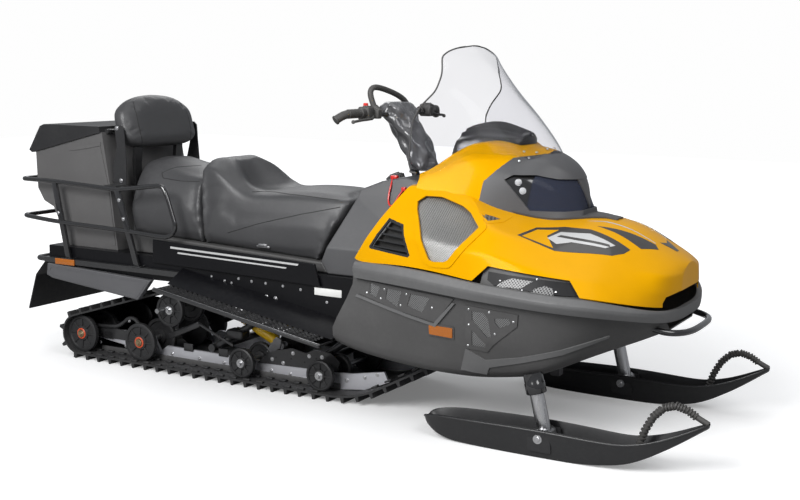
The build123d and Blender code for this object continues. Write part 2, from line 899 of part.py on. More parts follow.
def hood_section(row, inset):
    x, low_w, low_z, side_w, side_z, top_w, top_z, mid_z = row
    points = [
        (x, -low_w, low_z), (x, -side_w, side_z), (x, -top_w, top_z), (x, 0, mid_z),
        (x, top_w, top_z), (x, side_w, side_z), (x, low_w, low_z),
    ]
    inner = [
        (x, low_w - inset, low_z),
        (x, side_w - inset, side_z - inset * 0.3),
        (x, top_w - inset * 0.6, top_z - inset),
        (x, 0, mid_z - inset),
        (x, -top_w + inset * 0.6, top_z - inset),
        (x, -side_w + inset, side_z - inset * 0.3),
        (x, -low_w + inset, low_z),
    ]
    return points + inner


rear_edge = [
    (200.0, 500.0), (200.0, 1200.0), (482.0, 1200.0), (478.0, 968.0),
    (429.0, 895.0), (368.0, 807.0), (269.0, 644.0), (262.0, 500.0),
]
vent_recess = [
    (884.0, 684.0), (1183.0, 653.0), (1239.0, 600.0),
    (1239.0, 560.0), (840.0, 560.0), (820.0, 620.0),
]
mesh_outline = [
    (542.0, 863.0), (544.0, 889.0), (584.0, 914.0), (740.0, 881.0),
    (802.0, 806.0), (669.0, 667.0), (614.0, 666.0), (597.0, 672.0),
]
louvre_outline = [(422.0, 816.0), (484.0, 797.0), (512.0, 675.0), (334.0, 692.0)]


def make_hood():
    shell = ruled([hood_section(row, PANEL) for row in hood_rows])
    last = hood_rows[-1]
    nose = block(last[0] - PANEL, last[0], -last[1], last[1], last[2], last[6])
    low, high = hinge_y - hinge_half + 1, hinge_y + hinge_half - 1
    knuckle = rod_y(hood_hinge_x, hood_hinge_z, knuckle_r, low, high)
    knuckle += block(
        last[0] - PANEL, hood_hinge_x, low, high, hood_hinge_z, hood_hinge_z + knuckle_r
    )
    knuckle -= rod_y(hood_hinge_x, hood_hinge_z, hinge_pin_r + FIT, 0.0, 200.0)
    shell = shell.fuse(nose, knuckle, other_side(knuckle))
    shell -= prism_y(rear_edge, -700.0, 700.0)
    shell -= block(200.0, 560.0, -290.0, 290.0, 500.0, 1200.0)
    shell -= prism_y(vent_recess, 300.0, 700.0)
    shell -= prism_y(vent_recess, -700.0, -300.0)
    shell -= prism_y(mesh_outline, 300.0, 700.0)
    shell -= prism_y(mesh_outline, -700.0, -300.0)
    shell -= prism_y(louvre_outline, 300.0, 700.0)
    shell -= prism_y(louvre_outline, -700.0, -300.0)
    return shell


hood_solid = ruled([hood_section(row, PANEL)[:7] for row in hood_rows])
hood_shell = make_hood()
save("hood", hood_shell)


# ---- cowl, headlight pod, windshield and dash ---------------------------------------

# columns: x, low half-width, low z, shoulder half-width, shoulder z, top half-width, top z, centre z
fairing = [
    (490.0, 334.0, 915.0, 318.0, 960.0, 304.0, 984.0, 984.0),
    (560.0, 326.0, 908.0, 304.0, 980.0, 285.0, 1022.0, 1024.0),
    (700.0, 302.0, 880.0, 260.0, 1010.0, 222.0, 1106.0, 1110.0),
    (830.0, 258.0, 845.0, 226.0, 985.0, 160.0, 1058.0, 1094.0),
    (920.0, 220.0, 810.0, 192.0, 970.0, 128.0, 1042.0, 1076.0),
    (1000.0, 182.0, 800.0, 140.0, 930.0, 88.0, 1008.0, 1036.0),
    (1050.0, 136.0, 800.0, 96.0, 890.0, 52.0, 950.0, 976.0),
    (1078.0, 98.0, 800.0, 70.0, 856.0, 40.0, 866.0, 872.0),
]


def fairing_section(row, inset, drop):
    x, low_w, low_z, mid_w, mid_z, top_w, top_z, centre_z = row
    half = [(low_w - inset, low_z - drop), (mid_w - inset, mid_z - inset * 0.2), (top_w - inset, top_z - inset)]
    right = [(x, -w, z) for w, z in half]
    left = [(x, w, z) for w, z in reversed(half)]
    return right + [(x, 0, centre_z - inset)] + left


pod_split = [(728.0, 800.0), (742.0, 963.0), (826.0, 1052.0), (925.0, 1066.0), (925.0, 1200.0)]


fairing_solid = ruled([fairing_section(row, 0, 0) for row in fairing])


def make_fairing():
    inner = ruled([fairing_section(row, PANEL, 30) for row in fairing])
    front_cap = fairing_solid & block(1066.0, 1100.0, -200.0, 200.0, 800.0, 1000.0)
    return (fairing_solid - inner).fuse(front_cap)


fairing_shell = make_fairing()
front_side = prism_y(pod_split + [(1300.0, 1200.0), (1300.0, 800.0)], -400.0, 400.0)
rear_side = prism_y([(x - FIT, z) for x, z in pod_split] + [(400.0, 1200.0), (400.0, 800.0)], -400.0, 400.0)
column_gap = block(400.0, 585.0, -270.0, 270.0, 800.0, 1200.0)
cowl = (fairing_shell & rear_side) - column_gap - hood_solid
save("cowl", cowl)

lens_outline = [(-188.0, 962.0), (-150.0, 974.0), (150.0, 974.0), (188.0, 962.0), (150.0, 868.0), (-150.0, 868.0)]
lens_depth = 10.0


def make_pod():
    pod = (fairing_shell & front_side) - hood_solid
    window = prism_x(lens_outline, 880.0, 1200.0)
    return pod, window


pod, lens_window = make_pod()
lens_shell = fairing_solid - ruled([fairing_section(row, lens_depth, 30) for row in fairing])
lens = lens_shell & lens_window & front_side
pod = pod - lens_window
lens = lens - pod
save("headlight_pod", pod)
save("headlight_lens", lens)

# windshield; columns: z, front x at the middle, rear x of the sides, half-width of the sides
shield_rows = [
    (990.0, 945.0, 462.0, 345.0),
    (1080.0, 918.0, 455.0, 340.0),
    (1218.0, 810.0, 470.0, 328.0),
    (1300.0, 725.0, 520.0, 316.0),
    (1443.0, 590.0, 545.0, 236.0),
    (1476.0, 562.0, 556.0, 90.0),
]
shield_thick = 4.0
# the sheet's lower edge follows the cowl, and its sides end above it, (x, z)
shield_outline = [
    (960.0, 1030.0), (840.0, 1060.0), (702.0, 1070.0), (640.0, 1040.0), (562.0, 990.0), (486.0, 960.0),
    (455.0, 1020.0), (455.0, 1170.0), (548.0, 1300.0), (542.0, 1443.0), (552.0, 1480.0), (620.0, 1480.0),
    (980.0, 1100.0),
]


def shield_section(row, inset):
    z, front_x, rear_x, half = row
    front_x -= inset
    half -= inset
    middle_x = rear_x + (front_x - rear_x) * 0.62
    return [
        (rear_x, -half, z),
        (middle_x, -half * 0.74, z),
        (front_x, -half * 0.2, z),
        (front_x, half * 0.2, z),
        (middle_x, half * 0.74, z),
        (rear_x, half, z),
    ]


def make_windshield():
    outer = ruled([shield_section(row, 0) for row in shield_rows])
    inner = ruled([shield_section(row, shield_thick) for row in shield_rows])
    shell = outer - inner - block(300.0, 461.0, -290.0, 290.0, 900.0, 1500.0)
    return (shell & prism_y(shield_outline, -400.0, 400.0)) - fairing_solid - hood_solid


save("windshield", make_windshield())


def make_dash():
    outline = [
        (598.0, 1060.0), (592.0, 1120.0), (612.0, 1160.0), (660.0, 1168.0), (720.0, 1160.0), (800.0, 1138.0),
        (850.0, 1098.0),
    ]
    section = [
        (-175.0, 1040.0), (175.0, 1040.0), (165.0, 1110.0), (110.0, 1170.0), (-110.0, 1170.0), (-165.0, 1110.0),
    ]
    plan = [
        (590.0, -175.0), (700.0, -160.0), (790.0, -110.0), (850.0, -40.0),
        (850.0, 40.0), (790.0, 110.0), (700.0, 160.0), (590.0, 175.0),
    ]
    dash = prism_y(outline, -200.0, 200.0) & prism_x(section, 500.0, 900.0) & prism_z(plan, 1000.0, 1200.0)
    return dash - fairing_solid


save("dash", make_dash())

# grilles: flat panels behind the hood's openings, carried by the hood
grille_thick = 3.0


def side_plane_panel(outline, depth):
    """Panel that follows the hood's side within an outline, set in by a depth."""
    shell = ruled([hood_section(row, depth + grille_thick) for row in hood_rows])
    skin = ruled([hood_section(row, depth) for row in hood_rows])
    panel = (shell - skin) & prism_y(outline, 200.0, 700.0)
    return panel - hood_shell


def widen(outline, by):
    middle_x = sum(x for x, z in outline) / len(outline)
    middle_z = sum(z for x, z in outline) / len(outline)
    return [(x + by * (x - middle_x), z + by * (z - middle_z)) for x, z in outline]


widen_by = 0.08
mesh_panel = side_plane_panel(widen(mesh_outline, widen_by), PANEL + FIT)
louvre_panel = side_plane_panel(widen(louvre_outline, widen_by), PANEL + FIT)
save("side_meshes", both_sides(mesh_panel))
save("side_louvres", both_sides(louvre_panel))

# vent panels of the hull behind the hood's lower recess, fixed on the pan
vent_panel_outline = [(866.0, 688.0), (1196.0, 656.0), (1262.0, 600.0), (1262.0, 540.0), (842.0, 540.0)]


def vent_panel_section(row, inset):
    """Half section: a foot on the rim's inner face, then a wall inside the hood's side."""
    x, low_w, low_z, side_w, side_z, top_w, top_z, mid_z = row
    half = [
        (low_w - 4, low_z - 34), (low_w - 4, low_z - 10), (low_w - 15, low_z - 7),
        (side_w - 14, side_z), (top_w - 10, top_z - 14),
    ]
    return [(x, w - inset, z - inset * 0.3) for w, z in half]


def make_vent_panel():
    rows = [row for row in hood_rows if 800 < row[0] < 1400]
    sections = []
    for row in rows:
        sections.append(vent_panel_section(row, 0) + vent_panel_section(row, grille_thick)[::-1])
    return (ruled(sections) & prism_y(vent_panel_outline, 200.0, 700.0)) - rim_solid - pan_shell


save("vent_panels", both_sides(make_vent_panel()))


# ---- skis and legs ------------------------------------------------------------------

ski_tail_x = 613.0
ski_tip_x = 1697.0
ski_rise_x = 1340.0
wall_y = 44.0
wall_thick = 6.0
boss_half = wall_y - wall_thick / 2 - 1.0
bolt_r = 9.0


def make_ski():
    """Ski of the left side about the leg's bolt."""
    outer_line = Line((ski_rise_x, 0, 0), (ski_tail_x + 110, 0, 0))
    tail_line = Line((ski_tail_x + 110, 0, 0), (ski_tail_x, 0, 46))
    tail_cap = Line((ski_tail_x, 0, 46), (ski_tail_x + 3, 0, 46 + ski_thick))
    tail_back = Line((ski_tail_x + 3, 0, 46 + ski_thick), (ski_tail_x + 112, 0, ski_thick))
    inner_line = Line((ski_tail_x + 112, 0, ski_thick), (ski_rise_x, 0, ski_thick))
    tip_low = TangentArc((ski_rise_x, 0, 0), (ski_tip_x, 0, 196), tangent=(1, 0, 0))
    tip_high = TangentArc((ski_rise_x, 0, ski_thick), (ski_tip_x - 5, 0, 196 + ski_thick), tangent=(1, 0, 0))
    tip_cap = Line((ski_tip_x, 0, 196), (ski_tip_x - 5, 0, 196 + ski_thick))
    face = make_face([outer_line, tail_line, tail_cap, tail_back, inner_line, tip_high, tip_cap, tip_low])
    sole = extrude(face, amount=ski_half, dir=(0, 1, 0), both=True)
    middle_x = (ski_tail_x + ski_tip_x) / 2
    plan = prism_z([
        (ski_tail_x, -30), (ski_tail_x, 30), (ski_tail_x + 22, 58), (ski_tail_x + 70, ski_half),
        (ski_rise_x + 60, ski_half), (ski_tip_x - 130, 66), (ski_tip_x - 40, 44), (ski_tip_x + 1, 20),
        (ski_tip_x + 1, -20), (ski_tip_x - 40, -44), (ski_tip_x - 130, -66), (ski_rise_x + 60, -ski_half),
        (ski_tail_x + 70, -ski_half), (ski_tail_x + 22, -58),
    ], -10.0, 300.0)
    ski = sole & plan
    wall_outline = [
        (790.0, ski_thick - 1), (1000.0, 62.0), (1050.0, 92.0), (1150.0, 92.0), (1210.0, 64.0),
        (1440.0, ski_thick + 12), (1340.0, ski_thick - 1),
    ]
    for low in (wall_y - wall_thick / 2, -wall_y - wall_thick / 2):
        ski = ski.fuse(prism_y(wall_outline, low, low + wall_thick))
    ski -= rod_y(ski_bolt_x, ski_bolt_z, bolt_r + FIT, -80.0, 80.0)
    return Pos(0, ski_y, 0) * ski


def make_ski_loop():
    points = [
        (1440.0, ski_y, 20.0), (1470.0, ski_y, 110.0), (1530.0, ski_y, 238.0), (1600.0, ski_y, 262.0),
        (1690.0, ski_y, 214.0),
    ]
    return tube(points, [60, 50, 60], 11.0)


ski_left = make_ski().fuse(make_ski_loop())
save("ski_left", ski_left)
save("ski_right", other_side(ski_left))


def make_leg():
    leg = rod(leg_point(ski_bolt_z + 20), leg_point(leg_top_z), leg_r)
    foot = rod_y(ski_bolt_x, ski_bolt_z, 32.0, ski_y - boss_half, ski_y + boss_half)
    stop = block(ski_bolt_x - 26, ski_bolt_x + 22, ski_y - boss_half, ski_y + boss_half, ski_bolt_z, ski_bolt_z + 50)
    leg = leg.fuse(foot, stop)
    bolt = rod_y(ski_bolt_x, ski_bolt_z, bolt_r, ski_y - wall_y - 12, ski_y + wall_y + 12)
    heads = [
        rod_y(ski_bolt_x, ski_bolt_z, 17.0, ski_y + wall_y + wall_thick / 2 + FIT, ski_y + wall_y + 14),
        rod_y(ski_bolt_x, ski_bolt_z, 17.0, ski_y - wall_y - 14, ski_y - wall_y - wall_thick / 2 - FIT),
    ]
    return leg.fuse(bolt, *heads)


leg_left = make_leg()
save("ski_leg_left", leg_left)
save("ski_leg_right", other_side(leg_left))


# ---- handlebar ----------------------------------------------------------------------

bar_centre = steer_point((bar_z - steer_base_z) / math.cos(steer))
grip_end = (171.0, 420.0, 1181.0)
grip_start = (186.0, 305.0, 1206.0)


def make_bar():
    points = [
        (grip_end[0], -grip_end[1], grip_end[2]),
        (grip_start[0] + 6, -grip_start[1] + 60, grip_start[2] + 2),
        (bar_centre[0] + 10, -95.0, bar_z + 6),
        (bar_centre[0] + 10, 95.0, bar_z + 6),
        (grip_start[0] + 6, grip_start[1] - 60, grip_start[2] + 2),
        grip_end,
    ]
    return tube(points, [60, 60, 60, 60], bar_r)


bar = make_bar()
post_low = -35.0
post_top = (bar_z - steer_base_z) / math.cos(steer) - bar_r + 4
post = rod(steer_point(post_low), steer_point(post_top), post_r)
handlebar = bar.fuse(post)
save("handlebar", handlebar)


def make_grip():
    start = Vector(192.0, 262.0, 1207.5)
    end = Vector(*grip_end)
    way = (end - start).normalized()
    hollow = rod(tuple(start - way * 5), tuple(end + way * 1), bar_r + FIT)
    return rod(tuple(start), tuple(end + way * 3), grip_r) - bar - hollow


grip = make_grip()
save("grips", both_sides(grip))


def make_bar_pad():
    pad = Pos(bar_centre[0] + 2, 0, bar_z - 4) * Rot(0, -steer_rake, 0) * Box(74, 176, 66)
    pad = chamfer(pad.edges(), 12)
    return pad - handlebar


save("bar_pad", make_bar_pad())


def make_loop_bar():
    x = bar_centre[0]
    points = [
        (x + 8, -132.0, bar_z + 5), (x - 42, -128.0, bar_z + 84), (x - 66, -70.0, bar_z + 98),
        (x - 66, 70.0, bar_z + 98), (x - 42, 128.0, bar_z + 84), (x + 8, 132.0, bar_z + 5),
    ]
    return tube(points, [26, 26, 26, 26], 12.0)


loop_bar = make_loop_bar() - handlebar
save("loop_bar", loop_bar)


def make_controls():
    blocks = []
    for side in (-1, 1):
        unit = Pos(bar_centre[0] - 14, side * 205.0, bar_z + 4) * Box(52, 62, 50)
        lever = tube([
            (bar_centre[0] + 4, side * 190.0, bar_z - 6), (bar_centre[0] + 46, side * 250.0, bar_z - 12),
            (bar_centre[0] + 10, side * 385.0, bar_z - 30),
        ], [30], 5.0)
        blocks.append(unit.fuse(lever) - bar - grip - other_side(grip))
    return group(*blocks)


save("controls", make_controls())
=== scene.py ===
import bpy
import bmesh
import math
import random
from mathutils import Matrix, Vector
from mathutils.bvhtree import BVHTree


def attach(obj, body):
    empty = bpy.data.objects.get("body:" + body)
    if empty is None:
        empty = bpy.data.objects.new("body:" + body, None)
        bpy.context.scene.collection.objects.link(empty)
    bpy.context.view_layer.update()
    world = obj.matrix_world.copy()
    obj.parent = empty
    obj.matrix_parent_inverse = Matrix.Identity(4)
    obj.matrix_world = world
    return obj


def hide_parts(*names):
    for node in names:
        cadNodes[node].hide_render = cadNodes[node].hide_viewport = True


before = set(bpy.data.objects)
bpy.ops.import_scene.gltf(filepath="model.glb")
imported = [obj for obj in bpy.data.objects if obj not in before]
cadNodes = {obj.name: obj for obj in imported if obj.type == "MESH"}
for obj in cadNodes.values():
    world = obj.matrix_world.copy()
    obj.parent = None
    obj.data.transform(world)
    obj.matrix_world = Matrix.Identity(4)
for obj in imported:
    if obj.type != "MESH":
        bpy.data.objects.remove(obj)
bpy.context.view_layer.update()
scene = bpy.context.scene
mm = 0.001
weldGap, cutGap, snapGap = 0.00002, 0.000001, 0.0004  # metres
print("frame loaded:", len(cadNodes), "nodes")


# small helpers: sizes are given in millimetres, and every shape holds its place in its mesh

def spot(x, y, z):
    # a place given in millimetres
    return Vector((x, y, z)) * mm


def linkObject(name, data):
    obj = bpy.data.objects.new(name, data)
    scene.collection.objects.link(obj)
    return obj


def meshFrom(name, bm):
    mesh = bpy.data.meshes.new(name)
    bm.to_mesh(mesh)
    bm.free()
    return mesh


def shapeOf(name, bm):
    return linkObject(name, meshFrom(name, bm))


def fixNormals(bm):
    bmesh.ops.recalc_face_normals(bm, faces=bm.faces)
    return bm


def allOf(bm):
    return bm.verts[:] + bm.edges[:] + bm.faces[:]


def only(kind, made):
    # the vertices, the edges or the faces among what a bmesh operator made
    return [item for item in made if isinstance(item, kind)]


def pairsOf(points, closed=True):
    # each point with the next one
    return list(zip(points, points[1:])) + ([(points[-1], points[0])] if closed else [])


def triplesOf(points):
    # each point of a closed outline between its two neighbours
    return zip(points[-1:] + points[:-1], points, points[1:] + points[:1])


def bothHalves(plan):
    # a plan view's right half with the left one after it
    return plan + [(x, -y) for x, y in reversed(plan)]


def evaluatedMesh(obj):
    # the mesh that the object's modifiers or its curve give
    return bpy.data.meshes.new_from_object(obj.evaluated_get(bpy.context.evaluated_depsgraph_get()))


def settleModifiers(obj):
    mesh = evaluatedMesh(obj)
    obj.modifiers.clear()
    obj.data = mesh
    return obj


def addPiece(name, data, body, material, replaces=(), sharp=32):
    # data is a bmesh, a mesh or an object that is already linked
    if isinstance(data, bmesh.types.BMesh):
        data = meshFrom(name, data)
    obj = data if isinstance(data, bpy.types.Object) else linkObject(name, data)
    obj.name = name
    if obj.type == "MESH":
        obj.data.shade_smooth()
        obj.data.set_sharp_from_angle(angle=math.radians(sharp))
    obj.data.materials.clear()
    obj.data.materials.append(material)
    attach(obj, body)
    if replaces:
        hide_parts(*replaces)
    return obj


def rebuilt(name, data, node, material, sharp=32, body="chassis"):
    # a piece in the place of a CAD node, which it hides
    return addPiece(name, data, body, material, [node], sharp)


def addBevel(obj, width):
    # rounds every edge that turns by more than 22 degrees
    mod = obj.modifiers.new("edge", "BEVEL")
    mod.width = width * mm
    mod.segments = 3
    mod.limit_method = "ANGLE"
    mod.angle_limit = math.radians(22)
    mod.harden_normals = True


def addSubsurf(obj, levels):
    mod = obj.modifiers.new("smooth", "SUBSURF")
    mod.levels = levels
    mod.render_levels = levels


def walled(obj, thick):
    # gives a skin its thickness, inwards
    mod = obj.modifiers.new("wall", "SOLIDIFY")
    mod.thickness = thick * mm
    mod.offset = -1
    return settleModifiers(obj)


def nodeCopy(node):
    # welded bmesh of a CAD node, with its flat faces whole again
    bm = bmesh.new()
    bm.from_mesh(cadNodes[node].data)
    bmesh.ops.remove_doubles(bm, verts=bm.verts, dist=weldGap)
    bmesh.ops.dissolve_limit(bm, angle_limit=math.radians(0.8), verts=bm.verts, edges=bm.edges)
    return bm


def softened(node, body, material, width):
    # a node's own shape with its edges rounded
    addBevel(rebuilt(node + "Soft", nodeCopy(node), node, material, body=body), width)


def dress(node, material):
    mesh = cadNodes[node].data
    mesh.materials.clear()
    mesh.materials.append(material)


def extrudeSections(sections, closed=False, cap=False):
    # one section is drawn, and the rest are extruded from it
    bm = bmesh.new()
    crease = bm.edges.layers.float.new("crease_edge")
    ring = [bm.verts.new(co) for co in sections[0]]
    edges = [bm.edges.new(pair) for pair in pairsOf(ring, closed)]
    if cap:
        bm.faces.new(ring)
    rings = [ring]
    for section in sections[1:]:
        made = bmesh.ops.extrude_edge_only(bm, edges=edges)["geom"]
        fresh, edges = only(bmesh.types.BMVert, made), only(bmesh.types.BMEdge, made)
        place = {vert: index for index, vert in enumerate(rings[-1])}
        ordered = [None] * len(section)
        for vert in fresh:
            old = next(edge.other_vert(vert) for edge in vert.link_edges if edge.other_vert(vert) in place)
            ordered[place[old]] = vert
        for vert, co in zip(ordered, section):
            vert.co = co
        rings.append(ordered)
    if cap:
        bm.faces.new(rings[-1])
    return bm, rings, crease


def creaseColumns(bm, rings, crease, values):
    # values: one sharpness for each of the columns named
    for column, value in values.items():
        for near, far in zip(rings, rings[1:]):
            edge = bm.edges.get((near[column], far[column]))
            if edge:
                edge[crease] = value


def creaseRing(bm, ring, crease, value, closed=False):
    for pair in pairsOf(ring, closed):
        edge = bm.edges.get(pair)
        if edge:
            edge[crease] = value


def creaseEnds(bm, rings, crease, value):
    for ring in (rings[0], rings[-1]):
        creaseRing(bm, ring, crease, value, closed=True)


def closeEnds(bm, ends):
    for ring in ends:
        bmesh.ops.poke(bm, faces=[bm.faces.new(ring)])


def faceOutwards(bm, centre):
    fixNormals(bm)
    total = sum((face.calc_center_median() - centre).dot(face.normal) * face.calc_area() for face in bm.faces)
    if total < 0:
        bmesh.ops.reverse_faces(bm, faces=bm.faces)


def mirrored(bm):
    # adds the other side's copy of everything, across the plane of symmetry
    made = bmesh.ops.duplicate(bm, geom=allOf(bm))["geom"]
    bmesh.ops.scale(bm, vec=(1, -1, 1), verts=only(bmesh.types.BMVert, made))
    bmesh.ops.reverse_faces(bm, faces=only(bmesh.types.BMFace, made))
    return bm


def prism(outline, axis, low, high):
    # closed prism: outline is given in the two axes that are left
    bm = bmesh.new()
    order = {"x": (2, 0, 1), "y": (0, 2, 1), "z": (0, 1, 2)}[axis]

    def place(u, v, w):
        return Vector([(u, v, w)[index] for index in order]) * mm
    verts = [bm.verts.new(place(u, v, low)) for u, v in outline]
    face = bm.faces.new(verts)
    made = bmesh.ops.extrude_face_region(bm, geom=[face])["geom"]
    up = place(0, 0, high) - place(0, 0, low)
    bmesh.ops.translate(bm, vec=up, verts=only(bmesh.types.BMVert, made))
    return fixNormals(bm)


def widened(outline, by):
    # the outline moved outwards by a distance, corner by corner
    area = sum(x1 * z2 - x2 * z1 for (x1, z1), (x2, z2) in pairsOf(outline))
    turn = 1 if area > 0 else -1
    made = []
    for (x0, z0), (x1, z1), (x2, z2) in triplesOf(outline):
        first = Vector((z1 - z0, x0 - x1)).normalized() * turn
        second = Vector((z2 - z1, x1 - x2)).normalized() * turn
        out = first + second
        out = out / max(out.length_squared, 0.6) * 2
        made.append((x1 + out.x * by, z1 + out.y * by))
    return made


def roundCorners(outline, radius, steps=3):
    made = []
    for before, here, after in triplesOf(outline):
        here = Vector(here)
        first, second = Vector(before) - here, Vector(after) - here
        reach = min(radius, first.length * 0.45, second.length * 0.45)
        start, end = here + first.normalized() * reach, here + second.normalized() * reach
        for index in range(steps + 1):
            t = index / steps
            made.append(tuple(start * (1 - t) ** 2 + here * 2 * t * (1 - t) + end * t * t))
    return made


def block(low, high, bevel=0, segments=2, turn=None):
    bm = bmesh.new()
    bmesh.ops.create_cube(bm, size=1)
    low, high = Vector(low) * mm, Vector(high) * mm
    bmesh.ops.scale(bm, vec=high - low, verts=bm.verts)
    bmesh.ops.translate(bm, vec=(low + high) / 2, verts=bm.verts)
    if bevel:
        bmesh.ops.bevel(bm, geom=bm.edges[:], offset=bevel * mm, segments=segments,
                        profile=0.5, affect="EDGES", material=-1)
    if turn:
        bmesh.ops.rotate(bm, cent=(low + high) / 2, matrix=turn, verts=bm.verts)
    return bm


def joined(parts):
    whole = bmesh.new()
    for part in parts:
        mesh = meshFrom("part", part)
        whole.from_mesh(mesh)
        bpy.data.meshes.remove(mesh)
    return whole


def turned(profile, centre, axis, steps=32):
    # profile: (distance from the axis, distance along it), spun round the axis
    axis = Vector(axis).normalized()
    side = axis.orthogonal().normalized()
    bm = bmesh.new()
    verts = [bm.verts.new(Vector(centre) * mm + (side * out + axis * along) * mm) for out, along in profile]
    edges = [bm.edges.new(pair) for pair in zip(verts, verts[1:])]
    bmesh.ops.spin(bm, geom=verts + edges, cent=Vector(centre) * mm, axis=axis,
                   angle=2 * math.pi, steps=steps, use_merge=True)
    bmesh.ops.remove_doubles(bm, verts=bm.verts, dist=weldGap)
    return fixNormals(bm)


def drum(radius, half, edge, side):
    # profile of a cylinder with broken edges, for turned()
    return [(0, -half), (radius - edge, -half), (radius, side - half), (radius, half - side), (radius - edge, half),
            (0, half)]


def directions(count):
    # evenly spread round an axis that runs across the machine
    angles = [index / count * 2 * math.pi for index in range(count)]
    return [Vector((math.cos(angle), 0, math.sin(angle))) for angle in angles]


def tube(points, radius, sides=4, smooth=True):
    # a round bar as a curve, made a mesh
    curve = bpy.data.curves.new("tube", "CURVE")
    curve.dimensions = "3D"
    spline = curve.splines.new("NURBS" if smooth else "POLY")
    spline.points.add(len(points) - 1)
    for item, co in zip(spline.points, points):
        item.co = (*(Vector(co) * mm), 1)
    if smooth:
        spline.order_u = 3
        spline.use_endpoint_u = True
    curve.resolution_u = 6
    curve.bevel_depth = radius * mm
    curve.bevel_resolution = sides
    curve.use_fill_caps = True
    holder = linkObject("tube", curve)
    mesh = evaluatedMesh(holder)
    bpy.data.objects.remove(holder)
    bpy.data.curves.remove(curve)
    bm = bmesh.new()
    bm.from_mesh(mesh)
    bpy.data.meshes.remove(mesh)
    bmesh.ops.remove_doubles(bm, verts=bm.verts, dist=weldGap / 2)
    return fixNormals(bm)


def treeOf(obj):
    # a search tree over a piece's finished shape
    bm = bmesh.new()
    mesh = evaluatedMesh(obj)
    bm.from_mesh(mesh)
    bpy.data.meshes.remove(mesh)
    tree = BVHTree.FromBMesh(bm)
    bm.free()
    return tree


def sideHit(tree, x, z, side=-1, start=0.9):
    # where a line along Y from outside first meets the tree: point and outward normal
    place, normal = tree.ray_cast(Vector((x * mm, side * start, z * mm)), Vector((0, -side, 0)))[:2]
    if place is None or place.y * side < 0:
        place, normal = tree.find_nearest(Vector((x * mm, side * 0.45, z * mm)))[:2]
    return place, normal if normal.y * side > 0 else -normal


def topHit(tree, x, y):
    place, normal = tree.ray_cast(spot(x, y, 1600), Vector((0, 0, -1)))[:2]
    return place, normal if normal.z > 0 else -normal


def inside(outline, x, z):
    found = False
    for (x1, z1), (x2, z2) in pairsOf(outline):
        if (z1 > z) != (z2 > z) and x < (x2 - x1) * (z - z1) / (z2 - z1) + x1:
            found = not found
    return found


def drapedPlate(tree, outline, offset, thick, holes=(), step=14, view="side"):
    # flat outline cut into a grid, laid on the tree's surface and given a wall outwards
    bm = bmesh.new()
    flat = [Vector((u, 0, v)) * mm for u, v in outline]
    bm.faces.new([bm.verts.new(co) for co in flat])
    cuts = []
    us, vs = [u for u, v in outline], [v for u, v in outline]
    for start, stop, normal in ((min(us), max(us), (1, 0, 0)), (min(vs), max(vs), (0, 0, 1))):
        count = max(int((stop - start) / step), 1)
        for index in range(1, count):
            cuts.append((Vector(normal) * (start + (stop - start) * index / count) * mm, Vector(normal)))
    for hole in holes:
        for (u1, v1), (u2, v2) in pairsOf(hole):
            cuts.append((Vector((u1, 0, v1)) * mm, Vector((v2 - v1, 0, u1 - u2)).normalized()))
    for origin, normal in cuts:
        bmesh.ops.bisect_plane(bm, geom=allOf(bm), dist=cutGap, plane_co=origin, plane_no=normal)
    gone = [face for face in bm.faces for hole in holes
            if inside(hole, face.calc_center_median().x / mm, face.calc_center_median().z / mm)]
    bmesh.ops.delete(bm, geom=list(set(gone)), context="FACES")
    bmesh.ops.remove_doubles(bm, verts=bm.verts, dist=snapGap)
    hit = sideHit if view == "side" else topHit
    for vert in bm.verts:
        place, normal = hit(tree, vert.co.x / mm, vert.co.z / mm)
        vert.co = place + normal * offset * mm
    outwards = {"side": Vector((0, -1, 0)), "top": Vector((0, 0, 1))}[view]
    made = bmesh.ops.extrude_face_region(bm, geom=bm.faces[:])["geom"]
    for vert in only(bmesh.types.BMVert, made):
        normal = tree.find_nearest(vert.co)[1]
        vert.co += (normal if normal.dot(outwards) > 0 else -normal) * thick * mm
    return fixNormals(bm)


def screwHead(place, normal, radius, high):
    # pan head with a sunk middle
    profile = [(0, high * 0.35), (radius * 0.18, high * 0.4), (radius * 0.22, high), (radius * 0.7, high * 0.86),
               (radius * 0.96, high * 0.4), (radius, 0), (radius * 0.6, -high * 0.4)]
    bm = turned(profile, (0, 0, 0), (0, 0, 1), 12)
    turn = normal.to_track_quat("Z", "Y").to_matrix().to_4x4()
    bmesh.ops.transform(bm, matrix=Matrix.Translation(place) @ turn, verts=bm.verts)
    return bm


def cutAway(obj, cutters, operation="DIFFERENCE"):
    # cutters are closed bmeshes
    for cutter in cutters:
        tool = shapeOf("cutter", cutter)
        mod = obj.modifiers.new("cut", "BOOLEAN")
        mod.operation = operation
        mod.solver = "EXACT"
        mod.object = tool
        settleModifiers(obj)
        bpy.data.objects.remove(tool)
    return obj


# shader node groups: effects that several materials share

def startGroup(name, inputs, outputs):
    # inputs: name, kind of socket, value; outputs: name, kind of socket
    group = bpy.data.node_groups.new(name, "ShaderNodeTree")
    for label, kind, value in inputs:
        item = group.interface.new_socket(name=label, in_out="INPUT", socket_type="NodeSocket" + kind)
        if value is not None:
            item.default_value = value
    for label, kind in outputs:
        group.interface.new_socket(name=label, in_out="OUTPUT", socket_type="NodeSocket" + kind)
    entry = group.nodes.new("NodeGroupInput")
    leave = group.nodes.new("NodeGroupOutput")
    return group, entry, leave


def fill(tree, sockets, values):
    # each value is a number or a colour for its socket, or another node's output to link to it
    for key, value in values.items():
        if isinstance(value, bpy.types.NodeSocket):
            tree.links.new(value, sockets[key])
        else:
            sockets[key].default_value = value


def node(tree, kind, settings, values):
    made = tree.nodes.new(kind)
    for key, value in settings.items():
        setattr(made, key, value)
    fill(tree, made.inputs, values)
    return made


